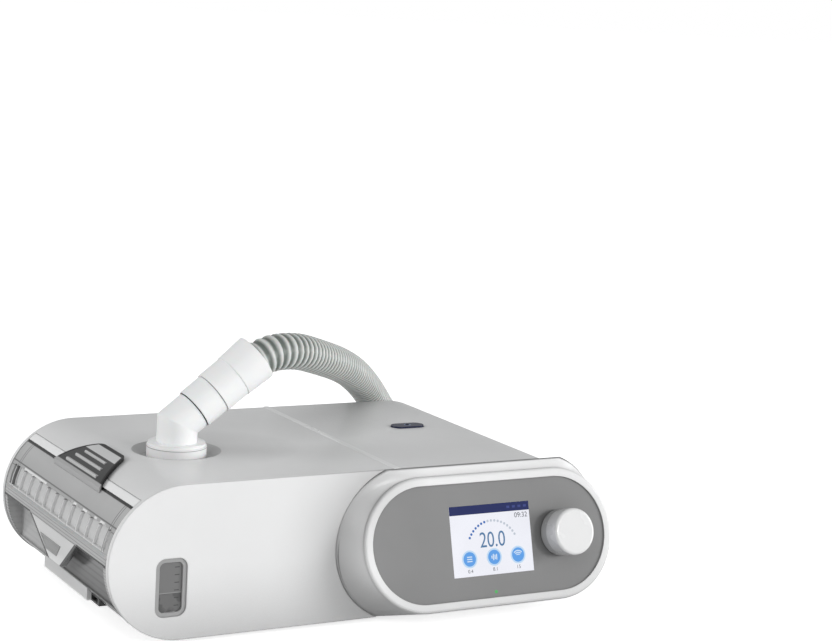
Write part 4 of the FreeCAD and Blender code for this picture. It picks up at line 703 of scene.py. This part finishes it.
def endTree(start, end, geometry):
    # instances made real, then the material
    tree = geometry.id_data
    real = addNode(tree, "GeometryNodeRealizeInstances", {0: geometry}).outputs[0]
    painted = addNode(tree, "GeometryNodeSetMaterial", {"Geometry": real, "Material": start["Material"]})
    feed(end["Geometry"], painted.outputs[0])


def runNodes(piece, tree, settings):
    modifier = piece.modifiers.new(tree.name, "NODES")
    modifier.node_group = tree
    for item in tree.interface.items_tree:
        if item.in_out == "INPUT" and item.name in settings:
            modifier[item.identifier] = settings[item.name]


def buildDotTree():
    # dots set along an arc
    tree, start, end = newGroup(
        "gaugeDots", "Geometry",
        [("Geometry", "Geometry"), ("Count", "Int"), ("Arc Radius", "Float"), ("Start Angle", "Float"),
         ("Angle Step", "Float"), ("Dot Radius", "Float"), ("Thickness", "Float"), ("Material", "Material")],
        [("Geometry", "Geometry")])
    index = addNode(tree, "GeometryNodeInputIndex").outputs[0]
    angle = calc("ADD", start["Start Angle"], calc("MULTIPLY", index, start["Angle Step"]))
    legs = {axis: calc("MULTIPLY", start["Arc Radius"], calc(operation, angle))
            for axis, operation in (("X", "COSINE"), ("Y", "SINE"))}
    centre = addNode(tree, "ShaderNodeCombineXYZ", legs).outputs[0]
    points = addNode(tree, "GeometryNodePoints", {"Count": start["Count"], "Position": centre})
    dot = addNode(tree, "GeometryNodeMeshCylinder",
                  {"Vertices": screenFace["dotSides"], "Radius": start["Dot Radius"],
                   "Depth": start["Thickness"]})
    repeat = addNode(tree, "GeometryNodeInstanceOnPoints",
                     {"Points": points.outputs[0], "Instance": dot.outputs["Mesh"]})
    endTree(start, end, repeat.outputs[0])
    return tree


dotTree = buildDotTree()


def gaugeDots(name, ink, first, count):
    holder = addObject(name + "Holder", bpy.data.meshes.new(name + "Holder"))
    step = radians(screenFace["gaugeStep"])
    runNodes(holder, dotTree, {
        "Count": count, "Arc Radius": screenFace["gaugeRadius"], "Angle Step": step,
        "Start Angle": radians(screenFace["gaugeStart"]) + first * step,
        "Dot Radius": screenFace["dotRadius"], "Thickness": screenFace["thick"], "Material": made[ink]})
    mesh = plainMesh(holder, name)
    bpy.data.objects.remove(holder)
    mesh.materials.clear()
    mesh.transform(Matrix.Translation((*screenFace["gauge"], screenFace["thick"] / 2)))
    screenPiece(mesh, ink)


def keyShapes():
    # three bars, four columns and three arcs
    level = screenFace["keyLevel"]
    left, middle, right = screenFace["keys"]
    shapes = [oblong(left, level + lift, *keySigns["bar"]) for lift in keySigns["bars"]]
    shapes += [oblong(middle + step, level, keySigns["columnWidth"], tall)
               for step, tall in keySigns["columns"]]
    return shapes + [arcBand(right, level - keySigns["arcDrop"], inner, inner + keySigns["arcWidth"],
                             *keySigns["arcEnds"]) for inner in keySigns["arcs"]]


def buildScreen():
    face, thick = screenFace, screenFace["thick"]
    top = (face["height"] - face["header"]) / 2
    screenPiece(slabs("screenHeader", [oblong(0, top, face["width"], face["header"])], thick), "headerNavy")
    headerMarks = [oblong(across, top, *face["headerMark"]) for across in face["headerMarks"]]
    screenPiece(slabs("headerMarks", headerMarks, thick), "headerMark")
    screenPiece(figures("screenClock", face["clock"], face["clockHeight"], face["clockAt"]), "clockGrey")
    screenPiece(figures("screenReading", face["reading"], face["readingHeight"], face["readingAt"],
                        face["readingWidth"]), "readingBlue")
    gaugeDots("gaugeLit", "dotBlue", 0, face["litDots"])
    gaugeDots("gaugePale", "dotPale", face["litDots"], face["paleDots"])
    for name, ink, size in (("keyHalos", "keyHalo", "haloRadius"), ("keyDiscs", "keyBlue", "keyRadius")):
        discs = [circle(across, face["keyLevel"], face[size]) for across in face["keys"]]
        screenPiece(slabs(name, discs, thick), ink)
    screenPiece(slabs("keyMarks", keyShapes(), thick), "keyMark")
    for index, (across, note) in enumerate(zip(face["keys"], face["notes"]), 1):
        at = (across, face["noteLevel"])
        screenPiece(figures("keyNote%d" % index, note, face["noteHeight"], at), "clockGrey")


buildScreen()
print("screen built")

# Lines and rims: the shells' joint, the dish and the flange at the outlet, and the gap at the swivel.
trim = {"seam": 162.5, "seamHalf": 2.0, "seamRise": 0.4, "seamRoot": 0.25, "seamFront": 1.6, "seamFoot": 1.0,
        "dish": (66.0, 74.0),
        "dishProfile": ((16.3, 76.45), (19.7, 76.45), (23.5, 80.6), (24.1, 80.78), (24.1, 80.4), (20.0, 75.9),
                        (16.3, 75.9)),
        "swivelProfile": ((10.0, 11.32), (11.15, 11.32), (11.15, 11.78), (10.0, 11.78)),
        "flangeProfile": ((16.1, 82.85), (16.28, 82.85), (16.28, 83.2), (16.1, 83.2))}


def seamBead():
    # a low round bead over the joint, along the top and down the back, a little lighter than the shells: in
    # part a painted highlight along the joint
    half, rise, root = trim["seamHalf"], trim["seamRise"], trim["seamRoot"]
    angles = [radians(angle) for angle in range(180, -1, -20)]
    crown = [(half * cos(angle), rise * sin(angle)) for angle in angles]
    back, top = machine["depth"], machine["height"]
    stations = ((trim["seamFront"], top, 0, 1), (back, top, 1, 1), (back, trim["seamFoot"], 1, 0))
    return loft("seamBead", [[spot(trim["seam"] + across, deep + out * backward, up + out * upward)
                              for across, out in [(-half, -root), *crown, (half, -root)]]
                             for deep, up, backward, upward in stations])


place(seamBead(), Matrix.Identity(4), made["seamHighlight"], "machine")
for name, profile in (("outletDish", "dishProfile"), ("flangeLine", "flangeProfile")):
    place(turnedRing(name, trim[profile]), machineFrame(*trim["dish"], 0), made["dishGrey"], "machine")
armTurn = Matrix.Rotation(pi / 2 - arm["rise"], 4, "Y")
place(turnedRing("swivelGap", trim["swivelProfile"]), machineFrame(*armSpot(0), armTurn), made["gapBlack"],
      "elbow")

# Bare plate set into the tongue: a profile of (rise, inset) pairs round four corners (deep, up).
tonguePlate = {"corners": ((102.5, 33.0), (71.0, 33.0), (78.5, 25.9), (95.0, 25.9)), "sideShare": 1.4,
               "profile": ((-0.1, 0.0), (0.3, 0.0), (0.3, 1.0), (0.05, 1.5)),
               "topLevel": 40.0, "topAcross": 0.4, "lean": 1.6 / 18.4}


def buildTonguePlate():
    corners = tonguePlate["corners"]
    midDeep, midUp = [sum(corner[axis] for corner in corners) / len(corners) for axis in (0, 1)]
    rows = []
    for rise, inset in tonguePlate["profile"]:
        row = []
        for deep, up in corners:
            deep += copysign(inset * tonguePlate["sideShare"], midDeep - deep)
            up += copysign(inset, midUp - up)
            across = tonguePlate["topAcross"] + (tonguePlate["topLevel"] - up) * tonguePlate["lean"] - rise
            row.append(spot(across, deep, up))
        rows.append(row)
    return loft("tonguePlate", rows)


# Start button: a ring broken at the top and a short bar.
buttonMark = {"at": (220.5, 94.5, 81.6), "ring": (1.5, 2.0), "ringEnds": (130, 410), "bar": (0.5, 2.0),
              "barLevel": 1.5, "thick": 0.05}


def buildButtonMark():
    shapes = [arcBand(0, 0, *buttonMark["ring"], *buttonMark["ringEnds"]),
              oblong(0, buttonMark["barLevel"], *buttonMark["bar"])]
    return slabs("startMark", shapes, buttonMark["thick"])


place(buildTonguePlate(), Matrix.Identity(4), made["windowGrey"], "tank")
place(buildButtonMark(), machineFrame(*buttonMark["at"]), made["buttonMark"], "start_button")
print("trim built")

# Hose: a ribbed tube along one smooth line from the cuff to the coil behind the machine.
hose = {"radius": 10.4, "rootRadius": 9.4, "ribPitch": 4.7, "samplesPerRib": 8, "sides": 20, "length": 1.802,
        "cuffStop": 35.8, "straightStop": 58.0, "layHeight": 10.2, "coilCentre": (202.0, 304.0),
        "coilRadius": 120.0, "coilPitch": 22.0, "halfTurns": 3, "tailRadius": 62.5, "tailTurn": 135,
        "tailReach": (0.3, 2.0), "stepDegrees": 15, "swell": (0.1, 0.72),
        "crest": ((0.70, 0.715, 0.70), (0.66, 0.675, 0.66)), "grooveShade": (0.135, 0.155, 0.14), "cloud": 40.0,
        "rough": (0.34, 0.46), "fixed": {"Subsurface Weight": 0.1, "Subsurface Scale": 0.003}}


def coilTurns():
    # control points of the turns, set out a little so that the curve has the turn's radius
    step = hose["stepDegrees"]
    outset = 8 / (6 + 2 * cos(radians(step)))
    midX, midY = hose["coilCentre"]
    turns = []
    for turn in range(hose["halfTurns"]):
        radius = hose["coilRadius"] - turn * hose["coilPitch"] / 2
        shift = hose["coilPitch"] / 2 if turn % 2 else 0
        turns.append((midX, midY - shift, radius, 90 + 180 * (turn % 2), 180))
    turns.append((midX, midY - radius + hose["tailRadius"], hose["tailRadius"], 270, hose["tailTurn"]))
    points = []
    for x, y, radius, start, sweep in turns:
        ways = [radians(angle + step / 2) for angle in range(start, start + sweep, step)]
        points += arc(x, y, radius * outset, ways)
    way = radians(hose["tailTurn"])
    endX = x + radius * sin(way)
    endY = y - radius * cos(way)
    for reach in hose["tailReach"]:
        points += arc(endX, endY, reach * hose["radius"], [way])
    return [(*point, hose["layHeight"]) for point in points]


lay = hose["layHeight"]
route = [armSpot(hose["cuffStop"]), armSpot(hose["straightStop"]), (136, 80.5, 132), (166, 105, 122),
         (197, 135, 110.5), (225, 166, 96), (253, 199, 77), (278, 226, 56), (308, 248, 37), (333, 271, 21),
         (344, 304, 11.5), (347, 340, lay), (336, 376, lay), (313, 404, lay), (282, 420, lay),
         (249, 424, lay), (222.8, 424, lay)] + coilTurns()
lineData = bpy.data.curves.new("hoseLine", "CURVE")
lineData.dimensions = "3D"
spline = lineData.splines.new("NURBS")
spline.points.add(len(route) - 1)
for point, stop in zip(spline.points, route):
    point.co = (*spot(*stop), 1.0)
spline.order_u = 3
spline.use_endpoint_u = True
spline.resolution_u = 8
hoseLine = addObject("hoseLine", lineData)
hosePath = [vertex.co.copy() for vertex in plainMesh(hoseLine, "hosePath").vertices]
hoseLength = sum((b - a).length for a, b in zip(hosePath, hosePath[1:]))
print("hose line", len(hosePath), "points,", round(hoseLength, 3), "m")


def buildRibTree():
    # ribs: the tube's radius rises and falls along its length
    tree, start, end = newGroup(
        "hoseRibs", "Geometry",
        [("Geometry", "Geometry"), ("Crest Radius", "Float"), ("Root Radius", "Float"),
         ("Rib Pitch", "Float"), ("Step", "Float"), ("Sides", "Int"), ("Material", "Material")],
        [("Geometry", "Geometry")])
    resample = addNode(tree, "GeometryNodeResampleCurve")
    resample.mode = "LENGTH"
    setValues(resample, {"Curve": start["Geometry"], "Length": start["Step"]})
    along = addNode(tree, "GeometryNodeSplineParameter").outputs["Length"]
    share = calc("FRACT", calc("DIVIDE", along, start["Rib Pitch"]))
    swell = falling(calc("MULTIPLY", aside(share, 0.5), 2.0), *hose["swell"])
    swell.node.interpolation_type = "SMOOTHSTEP"
    height = calc("SUBTRACT", start["Crest Radius"], start["Root Radius"])
    radius = calc("ADD", start["Root Radius"], both(swell, height))
    store = addNode(tree, "GeometryNodeStoreNamedAttribute",
                    {"Geometry": resample.outputs[0], "Name": "ribHeight", "Value": swell})
    ring = addNode(tree, "GeometryNodeCurvePrimitiveCircle", {"Resolution": start["Sides"], "Radius": 1.0})
    tube = addNode(tree, "GeometryNodeCurveToMesh",
                   {"Curve": store.outputs[0], "Profile Curve": ring.outputs["Curve"], "Scale": radius,
                    "Fill Caps": True})
    smooth = addNode(tree, "GeometryNodeSetShadeSmooth", {0: tube.outputs[0]})
    endTree(start, end, smooth.outputs[0])
    return tree


def hoseFinish():
    # light crests, and painted shade that darkens the grooves
    material, shader, coordinates = newMaterial("hoseGrey")
    rib = addNode(material.node_tree, "ShaderNodeAttribute")
    rib.attribute_name = "ribHeight"
    grain = addGroup(mouldGrain, coordinates, {"Cloud Scale": hose["cloud"]})
    crest = mixColour(spread(grain["Cloud"], 0.0, 1.0), *hose["crest"])
    bump = addBump(grain["Height"], surface["depth"])
    setValues(shader, {"Base Color": mixColour(rib.outputs["Fac"], hose["grooveShade"], crest),
                       "Roughness": spread(grain["Cloud"], *hose["rough"]),
                       "Normal": bump.outputs["Normal"], **hose["fixed"]})
    return material


made["hoseGrey"] = hoseFinish()
runNodes(hoseLine, buildRibTree(), {
    "Crest Radius": hose["radius"] / 1000, "Root Radius": hose["rootRadius"] / 1000,
    "Rib Pitch": hose["ribPitch"] / 1000, "Step": hose["ribPitch"] / hose["samplesPerRib"] / 1000,
    "Sides": hose["sides"], "Material": made["hoseGrey"]})
hoseTube = addObject("ribbedHose", plainMesh(hoseLine, "ribbedHose"))
bpy.data.objects.remove(hoseLine)
print("hose tube faces", len(hoseTube.data.polygons))
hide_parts("hose_run", "hose_coil")
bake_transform(hoseTube)

# Strap that holds the coil.
strap = {"halfWidth": 7.0, "wall": 1.2, "gap": 0.3, "stepDegrees": 15, "edge": 0.0004,
         "threads": 260.0, "threadStrength": 0.5, "threadDepth": 0.0004,
         "tones": ((0.42, 0.43, 0.44), (0.66, 0.67, 0.68)),
         "fixed": {"Roughness": 0.85, "Sheen Weight": 0.3}}


def buildStrap():
    x, y = hose["coilCentre"]
    x -= hose["coilRadius"]
    inner = hose["radius"] + strap["gap"]
    outer = inner + strap["wall"]
    rows = []
    for radius, side in ((inner, -1), (inner, 1), (outer, 1), (outer, -1)):
        loop = []
        for middle, first in ((x + hose["coilPitch"], -90), (x, 90)):
            ways = [radians(angle) for angle in range(first, first + 181, strap["stepDegrees"])]
            loop += arc(middle, hose["layHeight"], radius, ways)
        rows.append([spot(across, y + side * strap["halfWidth"], up) for across, up in loop])
    piece = addObject("hoseStrap", loft("hoseStrap", rows, closed=True))
    bevel = piece.modifiers.new("edge", "BEVEL")
    bevel.width = strap["edge"]
    bevel.segments = 2
    bevel.limit_method = "ANGLE"
    return piece


def wovenFinish():
    material, shader, coordinates = newMaterial("strapWeave")
    threads = {"Vector": coordinates, "Scale": strap["threads"]}
    heights = []
    for axis in ("X", "Y"):
        wave = addNode(material.node_tree, "ShaderNodeTexWave", threads)
        wave.bands_direction = axis
        heights.append(wave.outputs["Fac"])
    weave = either(*heights)
    bump = addBump(weave, strap["threadStrength"], strap["threadDepth"])
    setValues(shader, {"Base Color": mixColour(weave, *strap["tones"]), "Normal": bump.outputs["Normal"],
                       **strap["fixed"]})
    return material


made["strapWeave"] = wovenFinish()
hoseStrap = buildStrap()
hoseStrap.data.materials.append(made["strapWeave"])
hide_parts("hose_tie")
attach(hoseStrap, "machine")

# Camera at the photograph's angle, from a fit of the machine's own edges.
view = {"at": (-351.2, -896.1, 323.4), "azimuth": radians(30.07), "elevation": radians(8.93),
        "roll": radians(3.30), "focalPixels": 1989.97, "imageWidth": 832, "sensor": 36.0,
        "near": 0.05, "far": 100.0}


def buildCamera():
    data = bpy.data.cameras.new("photoCamera")
    data.sensor_fit = "HORIZONTAL"
    data.sensor_width = view["sensor"]
    data.lens = view["focalPixels"] / view["imageWidth"] * view["sensor"]
    data.clip_start = view["near"]
    data.clip_end = view["far"]
    azimuth, elevation, roll = view["azimuth"], view["elevation"], view["roll"]
    ahead = Vector((sin(azimuth) * cos(elevation), cos(azimuth) * cos(elevation), -sin(elevation)))
    level = ahead.cross(Vector((0, 0, 1))).normalized()
    above = level.cross(ahead)
    right = level * cos(roll) + above * sin(roll)
    up = above * cos(roll) - level * sin(roll)
    turn = Matrix((right, up, -ahead)).transposed().to_4x4()
    camera = addObject("photoCamera", data)
    camera.matrix_world = Matrix.Translation(spot(*view["at"])) @ turn
    scene.camera = camera


studio = {"room": 0.43, "roomTint": (0.985, 0.995, 1.0), "floorSide": 80.0, "aim": (0, 0, 0.04),
          "paperGlow": 0.7,
          "paper": {"tones": (0.90, 0.885), "rough": 0.7, "grain": 300.0, "depth": 0.02, "cloud": 3.0,
                    "fixed": {"Specular IOR Level": 0.1, "Emission Color": tint(1.0)}}}
lights = [
    {"name": "frontKey", "at": (0.8, -2.2, 0.7), "size": 0.3, "power": 11.0},
    {"name": "rightSoft", "at": (2.35, -1.5, 0.6), "size": 1.0, "power": 32.0},
    {"name": "leftSoft", "at": (-2.0, 0.9, 0.75), "size": 1.0, "power": 17.0},
    {"name": "cornerGlow", "at": (-0.35, -0.6, 0.5), "size": 0.4, "power": 0.85},
]


def cameraRay(tree):
    return addNode(tree, "ShaderNodeLightPath").outputs["Is Camera Ray"]


def buildStage():
    mesh = bpy.data.meshes.new("paleFloor")
    corners = oblong(0, 0, studio["floorSide"], studio["floorSide"])
    mesh.from_pydata([(x, y, 0) for x, y in corners], [], [(0, 1, 2, 3)])
    floor = addObject("paleFloor", mesh)
    material = finish("paleFloor", studio["paper"])
    # the paper glows only to the eye, so that it looks white and lights nothing
    glow = calc("MULTIPLY", cameraRay(material.node_tree), studio["paperGlow"])
    feed(material.node_tree.nodes["Principled BSDF"].inputs["Emission Strength"], glow)
    mesh.materials.append(material)


def buildRoom():
    # soft light all round, seen as plain white
    world = bpy.data.worlds.new("softRoom")
    world.use_nodes = True
    tree = world.node_tree
    room = tree.nodes["Background"]
    setValues(room, {"Color": tint(studio["roomTint"]), "Strength": studio["room"]})
    backdrop = addNode(tree, "ShaderNodeBackground", {"Color": tint(1.0)})
    pick = addNode(tree, "ShaderNodeMixShader",
                   {"Fac": cameraRay(tree), 1: room.outputs[0], 2: backdrop.outputs[0]})
    feed(tree.nodes["World Output"].inputs["Surface"], pick.outputs[0])
    scene.world = world


def buildLights():
    for look in lights:
        data = bpy.data.lights.new(look["name"], "AREA")
        data.energy = look["power"]
        data.size = look["size"]
        lamp = addObject(look["name"], data)
        lamp.location = look["at"]
        lamp.rotation_euler = (Vector(studio["aim"]) - lamp.location).to_track_quat("-Z", "Y").to_euler()


buildCamera()
buildStage()
buildRoom()
buildLights()
print("camera, floor and lights ready")
